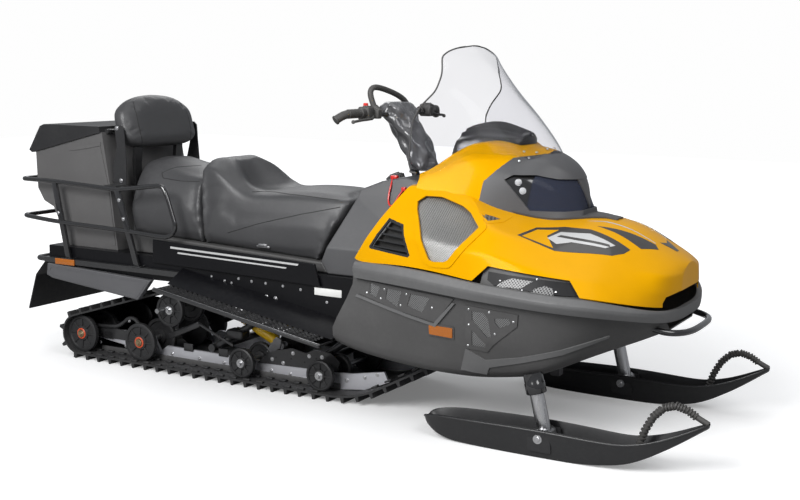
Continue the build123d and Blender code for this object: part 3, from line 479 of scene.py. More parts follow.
def mathNode(tree, operation, *values):
    return node(tree, "ShaderNodeMath", {"operation": operation}, dict(enumerate(values))).outputs[0]


def times(tree, first, second):
    return mathNode(tree, "MULTIPLY", first, second)


def plus(tree, first, second):
    return mathNode(tree, "ADD", first, second)


def noiseNode(tree, where, scale, detail, rough=0.5):
    return node(tree, "ShaderNodeTexNoise", {}, {
        "Vector": where, "Scale": scale, "Detail": detail, "Roughness": rough}).outputs["Fac"]


def mixColors(tree, factor, first, second):
    return node(tree, "ShaderNodeMix", {"data_type": "RGBA"}, {0: factor, 6: first, 7: second}).outputs[2]


def mapRange(tree, value, low, high, toLow, toHigh):
    return node(tree, "ShaderNodeMapRange", {"clamp": True}, {
        "Value": value, "From Min": low, "From Max": high, "To Min": toLow, "To Max": toHigh}).outputs["Result"]


def makeWear():
    # slow colour drift, settled dust on what faces up, and a roughness that follows both
    group, entry, leave = startGroup("wearAndDust", [
        ("Coordinates", "Vector", None), ("Color", "Color", (0.5, 0.5, 0.5, 1)),
        ("Dust Color", "Color", (0.30, 0.29, 0.27, 1)), ("Dust", "Float", 0.1),
        ("Drift", "Float", 0.1), ("Roughness", "Float", 0.5)],
        [("Color", "Color"), ("Roughness", "Float")])
    given = entry.outputs
    big = noiseNode(group, given["Coordinates"], 4.5, 5.0, 0.6)
    fine = noiseNode(group, given["Coordinates"], 60.0, 4.0, 0.7)
    geometry = node(group, "ShaderNodeNewGeometry", {}, {})
    split = node(group, "ShaderNodeSeparateXYZ", {}, {"Vector": geometry.outputs["Normal"]})
    upward = mapRange(group, split.outputs["Z"], 0.2, 1.0, 0.35, 1.0)
    speckle = mapRange(group, fine, 0.42, 0.72, 0.0, 1.0)
    patches = mapRange(group, big, 0.35, 0.7, 0.15, 1.0)
    dust = times(group, times(group, speckle, patches), times(group, upward, given["Dust"]))
    shade = mapRange(group, big, 0.3, 0.7, -0.5, 0.5)
    factor = plus(group, 1.0, times(group, shade, given["Drift"]))
    scaled = node(group, "ShaderNodeVectorMath", {"operation": "SCALE"}, {"Vector": given["Color"], "Scale": factor})
    fill(group, leave.inputs, {
        "Color": mixColors(group, dust, scaled.outputs["Vector"], given["Dust Color"]),
        "Roughness": plus(group, times(group, dust, 0.35), times(group, factor, given["Roughness"]))})
    return group


def makeGrain():
    # moulded plastic's fine spark texture, as a height
    group, entry, leave = startGroup("mouldGrain", [
        ("Coordinates", "Vector", None), ("Scale", "Float", 700.0)],
        [("Height", "Float")])
    where, scale = entry.outputs["Coordinates"], entry.outputs["Scale"]
    cells = node(group, "ShaderNodeTexVoronoi", {"feature": "SMOOTH_F1"},
                 {"Vector": where, "Scale": scale, "Smoothness": 0.6})
    soft = times(group, noiseNode(group, where, scale, 3.0), 0.7)
    fill(group, leave.inputs, {"Height": plus(group, cells.outputs["Distance"], soft)})
    return group


def makeLeather():
    # vinyl: pebbled cells with soft creases between them
    group, entry, leave = startGroup("vinylPebble", [
        ("Coordinates", "Vector", None), ("Scale", "Float", 420.0)],
        [("Height", "Float")])
    where = entry.outputs["Coordinates"]
    cells = node(group, "ShaderNodeTexVoronoi", {"feature": "DISTANCE_TO_EDGE"},
                 {"Vector": where, "Scale": entry.outputs["Scale"]})
    crease = mapRange(group, cells.outputs["Distance"], 0.0, 0.22, 0.0, 1.0)
    wave = times(group, noiseNode(group, where, 55.0, 4.0), 0.9)
    fill(group, leave.inputs, {"Height": plus(group, crease, wave)})
    return group


def makeWeave():
    # woven wire: two sets of crossing bars, seen from the side or from above
    group, entry, leave = startGroup("wireWeave", [
        ("Coordinates", "Vector", None), ("Spacing", "Float", 0.009),
        ("Open", "Float", 0.45)],
        [("Mask", "Float"), ("Height", "Float")])
    split = node(group, "ShaderNodeSeparateXYZ", {}, {"Vector": entry.outputs["Coordinates"]})
    waves = []
    for operation in ("ADD", "SUBTRACT"):
        slanted = mathNode(group, operation, split.outputs["X"], split.outputs["Z"])
        cell = mathNode(group, "FRACT", mathNode(group, "DIVIDE", slanted, entry.outputs["Spacing"]))
        waves.append(mathNode(group, "ABSOLUTE", mathNode(group, "SUBTRACT", cell, 0.5)))
    nearest = mathNode(group, "MAXIMUM", *waves)
    edge = times(group, entry.outputs["Open"], 0.5)
    fill(group, leave.inputs, {"Mask": mathNode(group, "LESS_THAN", nearest, edge), "Height": nearest})
    return group


def makeBrushed():
    # drawn or worn metal: long thin scratches on a slow stain
    group, entry, leave = startGroup("drawnMetal", [
        ("Coordinates", "Vector", None), ("Stretch", "Vector", (6.0, 60.0, 260.0)),
        ("Roughness", "Float", 0.35)],
        [("Roughness", "Float"), ("Height", "Float")])
    stretched = node(group, "ShaderNodeVectorMath", {"operation": "MULTIPLY"},
                     {0: entry.outputs["Coordinates"], 1: entry.outputs["Stretch"]})
    lines = noiseNode(group, stretched.outputs["Vector"], 1.0, 5.0, 0.65)
    fill(group, leave.inputs, {
        "Roughness": plus(group, entry.outputs["Roughness"], mapRange(group, lines, 0.3, 0.7, -0.08, 0.12)),
        "Height": lines})
    return group


wearGroup, grainGroup, vinylGroup = makeWear(), makeGrain(), makeLeather()
weaveGroup, brushedGroup = makeWeave(), makeBrushed()


def groupNode(tree, group, **values):
    # the group's sockets, named without their spaces
    labels = {"dustColor": "Dust Color"}
    return node(tree, "ShaderNodeGroup", {"node_tree": group}, {
        labels.get(key, key.capitalize()): value for key, value in values.items()})


def newMaterial(name):
    mat = bpy.data.materials.new(name)
    mat.use_nodes = True
    tree = mat.node_tree
    return mat, tree, tree.nodes["Principled BSDF"], tree.nodes.new("ShaderNodeTexCoord").outputs["Object"]


def firstOf(tree, kind):
    return next(item for item in tree.nodes if item.bl_idname == kind)


def makeMaterial(name, color, roughness=0.5, metallic=0.0, coat=0.0, grain=700.0, bump=0.15, dust=0.12,
                 drift=0.12, dustColor=(0.30, 0.29, 0.27), kind="plastic", coatRough=0.06, specular=0.5,
                 depth=0.0006, stretch=(6.0, 60.0, 260.0)):
    mat, tree, shader, where = newMaterial(name)
    wear = groupNode(tree, wearGroup, coordinates=where, color=(*color, 1), dust=dust, drift=drift,
                     dustColor=(*dustColor, 1), roughness=roughness)
    rough = wear.outputs["Roughness"]
    if kind == "metal":
        height = groupNode(tree, brushedGroup, coordinates=where, roughness=rough, stretch=stretch)
        rough = height.outputs["Roughness"]
    else:
        height = groupNode(tree, vinylGroup if kind == "vinyl" else grainGroup, coordinates=where, scale=grain)
    bumpNode = node(tree, "ShaderNodeBump", {}, {
        "Strength": bump, "Distance": depth, "Height": height.outputs["Height"]})
    fill(tree, shader.inputs, {
        "Base Color": wear.outputs["Color"], "Roughness": rough, "Normal": bumpNode.outputs["Normal"],
        "Metallic": metallic, "Coat Weight": coat, "Coat Roughness": coatRough, "Specular IOR Level": specular})
    return mat


def meshMaterial(name, color, spacing, openShare, metal=0.8, back=(0.008, 0.008, 0.008)):
    # woven metal screen: the wires are metal, and the gaps between them are painted near-black (back), a painted
    # shade standing for the dark inside seen through the screen
    mat = makeMaterial(name, color, 0.38, 0.85, bump=0.0)
    tree = mat.node_tree
    shader = tree.nodes["Principled BSDF"]
    where = firstOf(tree, "ShaderNodeTexCoord").outputs["Object"]
    weave = groupNode(tree, weaveGroup, coordinates=where, spacing=spacing, open=openShare).outputs
    old = shader.inputs["Base Color"].links[0].from_socket
    fill(tree, shader.inputs, {
        "Base Color": mixColors(tree, weave["Mask"], old, (*back, 1)),
        "Metallic": times(tree, mathNode(tree, "SUBTRACT", 1.0, weave["Mask"]), metal)})
    fill(tree, firstOf(tree, "ShaderNodeBump").inputs, {
        "Height": weave["Height"], "Strength": 0.6, "Distance": 0.002})
    return mat


def makeMetal(name, color, roughness, metallic=1.0, **facts):
    return makeMaterial(name, color, roughness, metallic, kind="metal", **facts)


yellowBody = makeMaterial("yellowBody", (0.64, 0.305, 0.0), 0.34, coat=0.05, coatRough=0.08, bump=0.03, grain=160,
                          dust=0.0, drift=0.08, specular=0.3)
yellowBody.node_tree.nodes["Principled BSDF"].inputs["Specular Tint"].default_value = (1.0, 0.62, 0.02, 1)
darkPlastic = makeMaterial("darkPlastic", (0.060, 0.059, 0.059), 0.52, bump=0.25, grain=620)
ventBlack = makeMaterial("ventBlack", (0.010, 0.010, 0.011), 0.5, bump=0.12, grain=620, dust=0.02, specular=0.25)
beltPlastic = makeMaterial("beltPlastic", (0.105, 0.105, 0.106), 0.56, bump=0.28, grain=560, dust=0.2)
boxPlastic = makeMaterial("boxPlastic", (0.092, 0.090, 0.090), 0.46, bump=0.3, grain=480, dust=0.14)
lidPlastic = makeMaterial("lidPlastic", (0.015, 0.015, 0.016), 0.46, bump=0.3, grain=480, dust=0.12)
podPlastic = makeMaterial("podPlastic", (0.066, 0.066, 0.069), 0.42, coat=0.12, coatRough=0.3, bump=0.16, grain=620,
                          dust=0.06)
glossBlack = makeMaterial("glossBlack", (0.012, 0.012, 0.013), 0.16, coat=0.9, bump=0.01, dust=0.04)
sidePanelBlack = makeMaterial("sidePanelBlack", (0.004, 0.004, 0.005), 0.30, bump=0.03, dust=0.02, specular=0.25)
blackSteel = makeMaterial("blackSteel", (0.020, 0.020, 0.021), 0.32, coat=0.5, bump=0.05, dust=0.08)
seatVinyl = makeMaterial("seatVinyl", (0.044, 0.044, 0.046), 0.40, bump=0.22, grain=380, kind="vinyl", depth=0.0007,
                         dust=0.1, dustColor=(0.22, 0.22, 0.22), drift=0.1)
trackRubber = makeMaterial("trackRubber", (0.020, 0.020, 0.021), 0.62, bump=0.4, grain=300, depth=0.001, dust=0.3,
                           dustColor=(0.16, 0.15, 0.14))
wheelRubber = makeMaterial("wheelRubber", (0.014, 0.014, 0.015), 0.5, bump=0.2, grain=500)
ringRed = makeMaterial("ringRed", (0.50, 0.065, 0.02), 0.4, bump=0.1, dust=0.2)
hubBrass = makeMetal("hubBrass", (0.42, 0.33, 0.20), 0.34)
brightMetal = makeMetal("brightMetal", (0.72, 0.72, 0.72), 0.26, bump=0.1, dust=0.04)
castMetal = makeMetal("castMetal", (0.40, 0.40, 0.41), 0.42, bump=0.25, stretch=(180, 180, 180), dust=0.2)
railAlloy = makeMetal("railAlloy", (0.80, 0.80, 0.84), 0.36, 0.85, bump=0.08, dust=0.04)
legAlloy = makeMetal("legAlloy", (0.62, 0.62, 0.63), 0.3, bump=0.0, stretch=(60, 60, 4), dust=0.0, drift=0.02)
screwMetal = makeMetal("screwMetal", (0.66, 0.66, 0.67), 0.3, bump=0.05, dust=0.05)
engineMetal = makeMetal("engineMetal", (0.10, 0.10, 0.105), 0.45, 0.8, bump=0.2, stretch=(90, 90, 90))
springYellow = makeMaterial("springYellow", (0.85, 0.52, 0.01), 0.36, coat=0.3, bump=0.05, dust=0.15)
greyPlastic = makeMaterial("greyPlastic", (0.085, 0.085, 0.09), 0.42, grain=500)
coverGrey = makeMaterial("coverGrey", (0.080, 0.080, 0.084), 0.26, coat=0.6, coatRough=0.14, bump=0.2, grain=240,
                         kind="vinyl", dust=0.05)
dashGrey = makeMaterial("dashGrey", (0.022, 0.022, 0.024), 0.30, coat=0.3, coatRough=0.25, bump=0.1)
flapRubber = makeMaterial("flapRubber", (0.014, 0.014, 0.015), 0.42, grain=300, dust=0.2)
gripRubber = makeMaterial("gripRubber", (0.050, 0.048, 0.046), 0.55, bump=0.4, grain=420, dust=0.08)
skiPlastic = makeMaterial("skiPlastic", (0.016, 0.016, 0.017), 0.36, coat=0.35, coatRough=0.25, bump=0.12, grain=400,
                          dustColor=(0.2, 0.19, 0.18))
reflectorOrange = makeMaterial("reflectorOrange", (0.36, 0.10, 0.003), 0.22, coat=0.8, bump=0.5, grain=260,
                               dust=0.02, depth=0.0012)
reflectorRed = makeMaterial("reflectorRed", (0.45, 0.012, 0.010), 0.16, coat=0.8, bump=0.4, grain=240, depth=0.0012)
buttonRed = makeMaterial("buttonRed", (0.62, 0.02, 0.012), 0.35, coat=0.3)
plateWhite = makeMaterial("plateWhite", (0.74, 0.74, 0.72), 0.4, bump=0.03, dust=0.06)
stripeSilver = makeMaterial("stripeSilver", (0.60, 0.60, 0.60), 0.32, 0.35, coat=0.6, bump=0.02, dust=0.03)
stripeDark = makeMaterial("stripeDark", (0.035, 0.032, 0.03), 0.35, coat=0.6, bump=0.02, dust=0.03)
# near-black: painted shade behind the louvres and in the rail plates' holes, and the seats' dark seams
shadeAndSeamBlack = makeMaterial("shadeAndSeamBlack", (0.006, 0.006, 0.006), 0.7, bump=0.2)
wireScreen = meshMaterial("wireScreen", (0.34, 0.34, 0.33), 0.0072, 0.55)
fineScreen = meshMaterial("fineScreen", (0.30, 0.30, 0.30), 0.0085, 0.58)
ventScreen = meshMaterial("ventScreen", (0.24, 0.24, 0.24), 0.0115, 0.60, 0.1)


def makeGlass(name, color, transmission, roughness, specular):
    mat, tree, shader, where = newMaterial(name)
    wear = groupNode(tree, wearGroup, coordinates=where, color=(*color, 1), dust=0.03, drift=0.03,
                     roughness=roughness)
    fill(tree, shader.inputs, {
        "Base Color": wear.outputs["Color"], "Roughness": wear.outputs["Roughness"],
        "Transmission Weight": transmission, "IOR": 1.12, "Specular IOR Level": specular})
    return mat


clearShield = makeGlass("clearShield", (0.885, 0.885, 0.905), 1.0, 0.01, 0.3)
darkLens = makeGlass("darkLens", (0.07, 0.08, 0.12), 0.6, 0.02, 0.5)
print("materials made")


# body panels: smooth skins through the CAD's own stations

def fitSmooth(obj, levels, rounds=4):
    # moves the cage until the smoothed surface passes through the stations
    targets = [vert.co.copy() for vert in obj.data.vertices]
    addSubsurf(obj, levels)
    for _ in range(rounds):
        depsgraph = bpy.context.evaluated_depsgraph_get()
        depsgraph.update()
        shape = obj.evaluated_get(depsgraph).data
        moves = [target - shape.vertices[index].co for index, target in enumerate(targets)]
        for vert, move in zip(obj.data.vertices, moves):
            vert.co += move
        obj.data.update()
    return settleModifiers(obj)


def archSections(rows, crown=0.28):
    # a row: x, then half-width and height at the low edge, the side and the shoulder, then the centre's height
    sections = []
    for x, lowW, lowZ, sideW, sideZ, shoulderW, shoulderZ, centreZ in rows:
        middle = (shoulderW * 0.52, shoulderZ + (centreZ - shoulderZ) * (1 - crown))
        half = [(x, -w, z) for w, z in ((lowW, lowZ), (sideW, sideZ), (shoulderW, shoulderZ), middle)]
        sections.append([spot(*co) for co in half + [(x, 0, centreZ)] + [(x, -y, z) for x, y, z in reversed(half)]])
    return sections


hoodShape = {"thick": 4.5, "crease": 0.75, "noseCrease": 0.85, "levels": 3}
# the hood's and the fairing's rows: see archSections
hoodRows = [
    (280, 438, 643, 425, 720, 350, 880, 900), (480, 482, 647, 455, 760, 325, 935, 945),
    (700, 512, 638, 490, 740, 300, 905, 915), (826, 526, 626, 500, 730, 420, 822, 880),
    (962, 534, 619, 500, 705, 405, 778, 842), (1111, 530, 610, 480, 670, 375, 732, 832),
    (1245, 505, 602, 440, 650, 330, 706, 812), (1350, 430, 582, 360, 630, 275, 682, 765),
    (1440, 262, 548, 255, 600, 225, 658, 712), (1482, 100, 534, 105, 590, 100, 650, 684)]
meshOutline = [(512, 880), (538, 901), (600, 900), (696, 872), (740, 852), (806, 808), (716, 688), (700, 680),
               (652, 676), (632, 682), (522, 852)]
louvreOutline = [(411, 813), (486, 796), (544, 688), (536, 680), (346, 694), (342, 702)]
rearEdge = [(200, 500), (200, 1200), (482, 1200), (478, 968), (429, 895), (368, 807), (269, 644), (262, 500)]
ventRecess = [(884, 684), (1183, 653), (1239, 600), (1239, 560), (840, 560), (820, 620)]


def makeHood():
    bm, rings, crease = extrudeSections(archSections(hoodRows))
    creaseColumns(bm, rings, crease, dict.fromkeys((1, 2, 6, 7), hoodShape["crease"]))
    creaseColumns(bm, rings[5:], crease, dict.fromkeys((1, 7), hoodShape["noseCrease"]))
    creaseRing(bm, rings[-1], crease, 1.0)
    closeEnds(bm, rings[-1:])
    faceOutwards(bm, spot(900, 0, 600))
    return fitSmooth(shapeOf("hoodSkin", bm), hoodShape["levels"])


fairingRows = [
    (490, 334, 915, 318, 960, 304, 984, 984), (560, 326, 908, 304, 980, 285, 1022, 1024),
    (700, 302, 880, 260, 1010, 222, 1106, 1110), (830, 258, 845, 226, 985, 160, 1058, 1094),
    (920, 220, 810, 192, 970, 128, 1042, 1076), (1000, 182, 800, 140, 930, 88, 1008, 1036),
    (1050, 136, 800, 96, 890, 52, 950, 976), (1078, 98, 800, 70, 856, 40, 866, 872)]


def makeFairing():
    bm, rings, crease = extrudeSections(archSections(fairingRows))
    creaseColumns(bm, rings, crease, {1: 0.35, 2: 0.45, 6: 0.45, 7: 0.35})
    creaseColumns(bm, rings[3:], crease, dict.fromkeys((1, 2, 6, 7), 0.85))
    creaseRing(bm, rings[-1], crease, 0.8)
    closeEnds(bm, rings[-1:])
    faceOutwards(bm, spot(800, 0, 850))
    return fitSmooth(shapeOf("fairingSkin", bm), 3)


def throughSides(outline, inner):
    # a cutter for each side, from a distance from the middle outwards
    return [prism(outline, "y", inner, 700), prism(outline, "y", -700, -inner)]


def copyOf(obj, name):
    return linkObject(name, obj.data.copy())


hoodSkin = makeHood()
fairingSkin = makeFairing()
hoodTree = treeOf(hoodSkin)
fairingTree = treeOf(fairingSkin)
noseArch = [(-236, 480), (-232, 560), (-214, 580), (-120, 590), (120, 590), (214, 580), (232, 560), (236, 480)]
topOpening = [(200, -290), (200, 290), (500, 290), (548, 262), (560, 200), (560, -200), (548, -262), (500, -290)]
hood = cutAway(walled(hoodSkin, hoodShape["thick"]), [
    prism(rearEdge, "y", -700, 700), prism(topOpening, "z", 500, 1200), *throughSides(ventRecess, 380),
    *throughSides(meshOutline, 280), *throughSides(louvreOutline, 280), prism(noseArch, "x", 1380, 1500)])
rebuilt("hoodShell", hood, "hood", yellowBody, 30, body="hood")

podSplit = [(728, 800), (742, 963), (826, 1052), (925, 1066), (925, 1200)]
frontSide = podSplit + [(1300, 1200), (1300, 700), (728, 700)]
rearSide = podSplit + [(400, 1200), (400, 700), (728, 700)]
shieldOpening = [(400, -262), (400, 262), (560, 262), (590, 215), (590, -215), (560, -262)]
cowl = cutAway(walled(copyOf(fairingSkin, "cowlSkin"), 4.5), [
    prism(frontSide, "y", -400, 400), prism(shieldOpening, "z", 800, 1200)])
rebuilt("cowlShell", cowl, "cowl", yellowBody, 30, body="hood")
lensSide = [(815, 972), (843, 990), (921, 990), (990, 974), (1120, 968), (1120, 858), (1026, 853), (914, 857)]
pod = cutAway(walled(copyOf(fairingSkin, "podSkin"), 8), [
    prism([(x - 1.5, z) for x, z in rearSide], "y", -400, 400), prism(lensSide, "y", -400, 400)])
rebuilt("podShell", pod, "headlight_pod", podPlastic, 24, body="hood")


def clipped(sink, planes):
    # the fairing's surface inside some planes, set in by a few millimetres; planes: point and outward normal
    bm = bmesh.new()
    bm.from_mesh(fairingSkin.data)
    for origin, normal in planes:
        bmesh.ops.bisect_plane(bm, geom=allOf(bm), dist=cutGap, plane_co=spot(*origin),
                               plane_no=Vector(normal).normalized(), clear_outer=True)
    for vert in bm.verts:
        vert.co -= vert.normal * sink * mm
    return bm


windowPlanes = [((0, 0, 992), (0, 0, 1)), ((0, 0, 850), (0, 0, -1))]
behindPlanes = [((0, 0, 1014), (0, 0, 1)), windowPlanes[1]]
glassPlanes = windowPlanes + [((908, 0, 900), (-1, 0, 0.12))]
backPlanes = behindPlanes + [((806, 0, 960), (-1, 0, -0.7))]
pillarPlanes = windowPlanes + [((0, -30, 930), (0, -0.92, -0.39)), ((0, 30, 930), (0, 0.92, -0.39))]
surroundPlanes = backPlanes[:2] + [((912, 0, 900), (1, 0, -0.12)), backPlanes[2]]
lens = walled(shapeOf("lensGlass", clipped(9, glassPlanes)), 3)
rebuilt("lensGlass", lens, "headlight_lens", darkLens, body="hood")
surround = walled(shapeOf("lensSurround", clipped(14, surroundPlanes)), 3)
addPiece("lensSurround", surround, "hood", glossBlack)
addPiece("lensBack", clipped(44, backPlanes), "hood", glossBlack)
pillar = walled(shapeOf("podPillar", clipped(2, pillarPlanes)), 8)
addPiece("podPillar", pillar, "hood", podPlastic, sharp=24)
bpy.data.objects.remove(fairingSkin)


def makeReflectors():
    bowls = []
    for side in (-1, 1):
        for y, x, radius, yaw in ((64, 1004, 42, 14), (126, 962, 38, 32)):
            aim = Vector((math.cos(math.radians(yaw)), side * math.sin(math.radians(yaw)), 0))
            profile = [(radius, 0), (radius * 0.97, -6), (radius * 0.8, -22), (radius * 0.45, -36), (9, -40),
                       (9, -26), (0, -20)]
            bowls.append(turned(profile, (x, side * y, 914), aim, 28))
    return joined(bowls)


addPiece("lampReflectors", makeReflectors(), "hood", brightMetal)
print("hood, cowl, pod and lens done")

shieldShape = {"thick": 4, "levels": 3}
# the windshield's rows: z, x of its middle, x of its rear edges, half-width
shieldRows = [(990, 945, 462, 345), (1080, 918, 455, 340), (1218, 810, 470, 328), (1300, 725, 520, 316),
              (1400, 632, 540, 262), (1443, 590, 545, 236), (1476, 562, 556, 90)]
shieldOutline = roundCorners([
    (960, 1030), (840, 1060), (702, 1070), (640, 1040), (562, 990), (486, 960), (455, 1020), (455, 1170),
    (492, 1240), (548, 1300), (556, 1360), (546, 1420), (548, 1460), (562, 1477), (600, 1490), (980, 1110)], 22, 4)


def makeShield():
    sections = []
    for z, front, rear, half in shieldRows:
        middle = rear + (front - rear) * 0.62
        plan = bothHalves([(rear, -half), (middle, -half * 0.74), (front, -half * 0.2)])
        sections.append([spot(x, y, z) for x, y in plan])
    bm = extrudeSections(sections)[0]
    faceOutwards(bm, spot(500, 0, 1100))
    return fitSmooth(shapeOf("shieldSkin", bm), shieldShape["levels"])


shieldSkin = makeShield()
shieldTree = treeOf(shieldSkin)
shield = cutAway(walled(copyOf(shieldSkin, "shieldSheet"), shieldShape["thick"]),
                 [prism(shieldOutline, "y", -500, 500)], "INTERSECT")
rebuilt("shieldSheet", shield, "windshield", clearShield, 50, body="hood")
bpy.data.objects.remove(shieldSkin)
print("windshield done")

rimShape = {"thick": 20, "levels": 2, "edgeCrease": 0.75}
# the rim's rows: x, then half-width and height at its top, its ridge and its low edge
rimRows = [
    (282, 452, 637, 462, 610, 456, 575), (507, 500, 641, 514, 610, 506, 573), (691, 525, 632, 541, 600, 532, 565),
    (826, 538, 620, 555, 592, 546, 558), (945, 546, 614, 563, 586, 552, 553), (1063, 548, 607, 566, 580, 552, 548),
    (1177, 540, 601, 560, 575, 545, 544), (1282, 505, 592, 524, 568, 508, 536), (1389, 400, 562, 416, 545, 400, 516),
    (1456, 262, 534, 272, 522, 258, 492), (1484, 120, 524, 124, 510, 118, 484)]


def makeRim():
    # one band from the right footwell round the nose to the left one
    path = [(x, -1, row) for x, *row in rimRows] + [(1486, 0, rimRows[-1][1:])]
    path += [(x, 1, row) for x, *row in reversed(rimRows)]
    sections = []
    for x, side, (topW, topZ, ridgeW, ridgeZ, lowW, lowZ) in path:
        inward = rimShape["thick"]
        forward = 0
        if x > 1380:
            forward = inward * (0.55 if x < 1400 else 0.85 if x < 1460 else 1)
            inward = inward * (0.83 if x < 1400 else 0.5 if x < 1460 else 0.1)
        sections.append([
            spot(x - forward, side * (topW - inward), topZ), spot(x, side * topW, topZ),
            spot(x, side * ridgeW, ridgeZ + 6), spot(x, side * ridgeW, ridgeZ - 6), spot(x, side * lowW, lowZ),
            spot(x - forward, side * (lowW - inward), lowZ)])
    bm, rings, crease = extrudeSections(sections, closed=True, cap=True)
    creaseColumns(bm, rings, crease, dict.fromkeys(range(6), rimShape["edgeCrease"]))
    creaseEnds(bm, rings, crease, 0.9)
    return fitSmooth(shapeOf("rimBand", fixNormals(bm)), rimShape["levels"], 2)


rebuilt("rimBand", makeRim(), "hull_rim", beltPlastic, 35)
# the pan's rows: x, half-width and height of its middle, half-width and height of its low edge
panShape = {"thick": 5, "levels": 2}
panRows = [
    (175, 446, 400, 440, 296), (282, 452, 420, 446, 270), (507, 474, 430, 458, 246), (691, 490, 420, 462, 240),
    (826, 500, 405, 462, 244), (945, 504, 405, 462, 260), (1063, 500, 420, 468, 286), (1177, 478, 445, 440, 334),
    (1282, 420, 465, 380, 380), (1389, 310, 475, 280, 420), (1456, 200, 478, 180, 446)]


legLean = math.tan(math.radians(14))
skiY, legX = 450, 1100


def makePan():
    sections = []
    for x, midW, midZ, lowW, lowZ in panRows:
        row = next((row for row in rimRows if row[0] == x), None)
        topW, topZ = (min(row[1], row[5]) - 23, row[6] + 20) if row else (429, 500)
        half = [(topW, topZ), (midW, midZ), (lowW, lowZ + 30), (lowW - 34, lowZ), (lowW * 0.45, lowZ - 0.5)]
        sections.append([spot(x, -w, z) for w, z in half] + [spot(x, w, z) for w, z in reversed(half)])
    bm, rings, crease = extrudeSections(sections)
    creaseColumns(bm, rings, crease, {1: 0.7, 8: 0.7, 2: 0.5, 3: 0.5, 6: 0.5, 7: 0.5})
    faceOutwards(bm, spot(900, 0, 560))
    obj = walled(fitSmooth(shapeOf("panSkin", bm), panShape["levels"]), panShape["thick"])
    legHole = [(0, 130), (38, 130), (38, 298), (0, 298)]
    holes = [turned(legHole, (legX + 70 * legLean, side * skiY, 0), (-legLean, 0, 1)) for side in (-1, 1)]
    slot = block((0, -322, 0), (745, 322, 900))
    rear = prism([(100, 200), (137, 285), (238, 487), (262, 545), (262, 700), (100, 700)], "y", -600, 600)
    return cutAway(obj, [slot, rear] + holes)


pan = rebuilt("panShell", makePan(), "belly_pan", darkPlastic, 35)
print("rim and pan done")


# seats and backrest: padded forms, blown up a little by cloth

def padCage(stations):
    # each station is a half ring of (x, y, z) from the bottom's middle to the top's middle
    bm, rings, crease = extrudeSections([
        [spot(x, -y, z) for x, y, z in half] + [spot(x, y, z) for x, y, z in reversed(half[1:-1])]
        for half in stations], closed=True)
    closeEnds(bm, (rings[0], rings[-1]))
    return bm, rings, crease


clothFacts = {"pinned": 30, "frames": 20, "rounds": 3, "settings": {
    "use_pressure": True, "uniform_pressure_force": 4.0, "vertex_group_mass": "pinned", "quality": 4,
    "tension_stiffness": 20, "compression_stiffness": 20, "bending_stiffness": 2}}


def inflate(obj, voxel, cap):
    # cloth pressure over a remeshed copy, with each point's travel capped
    remesh = obj.modifiers.new("even", "REMESH")
    remesh.mode = "VOXEL"
    remesh.voxel_size = voxel * mm
    settleModifiers(obj)
    start = [vert.co.copy() for vert in obj.data.vertices]
    low = min(co.z for co in start)
    pins = obj.vertex_groups.new(name="pinned")
    pins.add([index for index, co in enumerate(start) if co.z < low + clothFacts["pinned"] * mm], 1.0, "REPLACE")
    cloth = obj.modifiers.new("cloth", "CLOTH")
    for key, value in clothFacts["settings"].items():
        setattr(cloth.settings, key, value)
    cloth.settings.effector_weights.gravity = 0
    cloth.collision_settings.use_self_collision = False
    cloth.point_cache.frame_start = 1
    cloth.point_cache.frame_end = clothFacts["frames"]
    for step in range(1, clothFacts["frames"] + 1):
        scene.frame_set(step)
    depsgraph = bpy.context.evaluated_depsgraph_get()
    moved = [vert.co.copy() for vert in obj.evaluated_get(depsgraph).data.vertices]
    obj.modifiers.clear()
    for vert, before, after in zip(obj.data.vertices, start, moved):
        travel = after - before
        if travel.length > cap * mm:
            travel *= cap * mm / travel.length
        vert.co = before + travel
    bm = bmesh.new()
    bm.from_mesh(obj.data)
    for _ in range(clothFacts["rounds"]):
        bmesh.ops.smooth_vert(bm, verts=bm.verts, factor=0.5, use_axis_x=True, use_axis_y=True, use_axis_z=True)
    obj.vertex_groups.clear()
    bm.to_mesh(obj.data)
    bm.free()
    scene.frame_set(1)
    return obj


seatBase = {"z": 628, "rear": -1035, "long": 1017, "drop": 42}  # the seats' base falls to the front
# a seat's stations: top x, edge half-width and height, shoulder half-width and height, middle height
# its waist: x height, z, what is added to the half-width, drop, half-width's and shoulder's shares, swell
driverSeat = {
    "name": "driverSeat", "baseFront": -18, "baseRear": -622, "topFront": 108, "topRear": -668,
    "baseHalf": 246, "voxel": 9, "cap": 5, "waist": (735, 735, 2, 40, 2, 0.45, 0.55, 4),
    "edgeCrease": 0.25, "endCrease": 0.35,
    "stations": [(98, 160, 832, 188, 800, 834), (74, 178, 843, 206, 818, 848), (20, 184, 846, 212, 824, 856),
                 (-52, 186, 850, 215, 828, 864), (-130, 186, 852, 218, 829, 866), (-230, 188, 851, 222, 828, 862),
                 (-320, 184, 846, 225, 826, 848), (-385, 178, 848, 226, 828, 838), (-440, 167, 868, 224, 846, 834),
                 (-490, 152, 902, 220, 880, 846), (-535, 122, 942, 214, 914, 884), (-572, 100, 968, 208, 938, 940),
                 (-604, 112, 983, 200, 950, 977), (-640, 130, 980, 194, 950, 984), (-664, 132, 962, 186, 932, 966)]}
passengerSeat = {
    "name": "passengerSeat", "baseFront": -625, "baseRear": -1036, "topFront": -671, "topRear": -1064,
    "baseHalf": 246, "voxel": 9, "cap": 6, "waist": (740, 745, 3, 60, 0, 0.5, 0.5, 6),
    "edgeCrease": 0, "endCrease": 0.3,
    "stations": [(-676, 142, 896, 190, 872, 908), (-694, 156, 898, 201, 870, 912), (-735, 162, 900, 206, 868, 918),
                 (-790, 164, 906, 209, 868, 928), (-850, 162, 916, 210, 872, 940), (-920, 158, 930, 208, 880, 956),
                 (-985, 150, 942, 203, 888, 968), (-1030, 140, 940, 194, 886, 966), (-1058, 120, 916, 180, 862, 938)]}


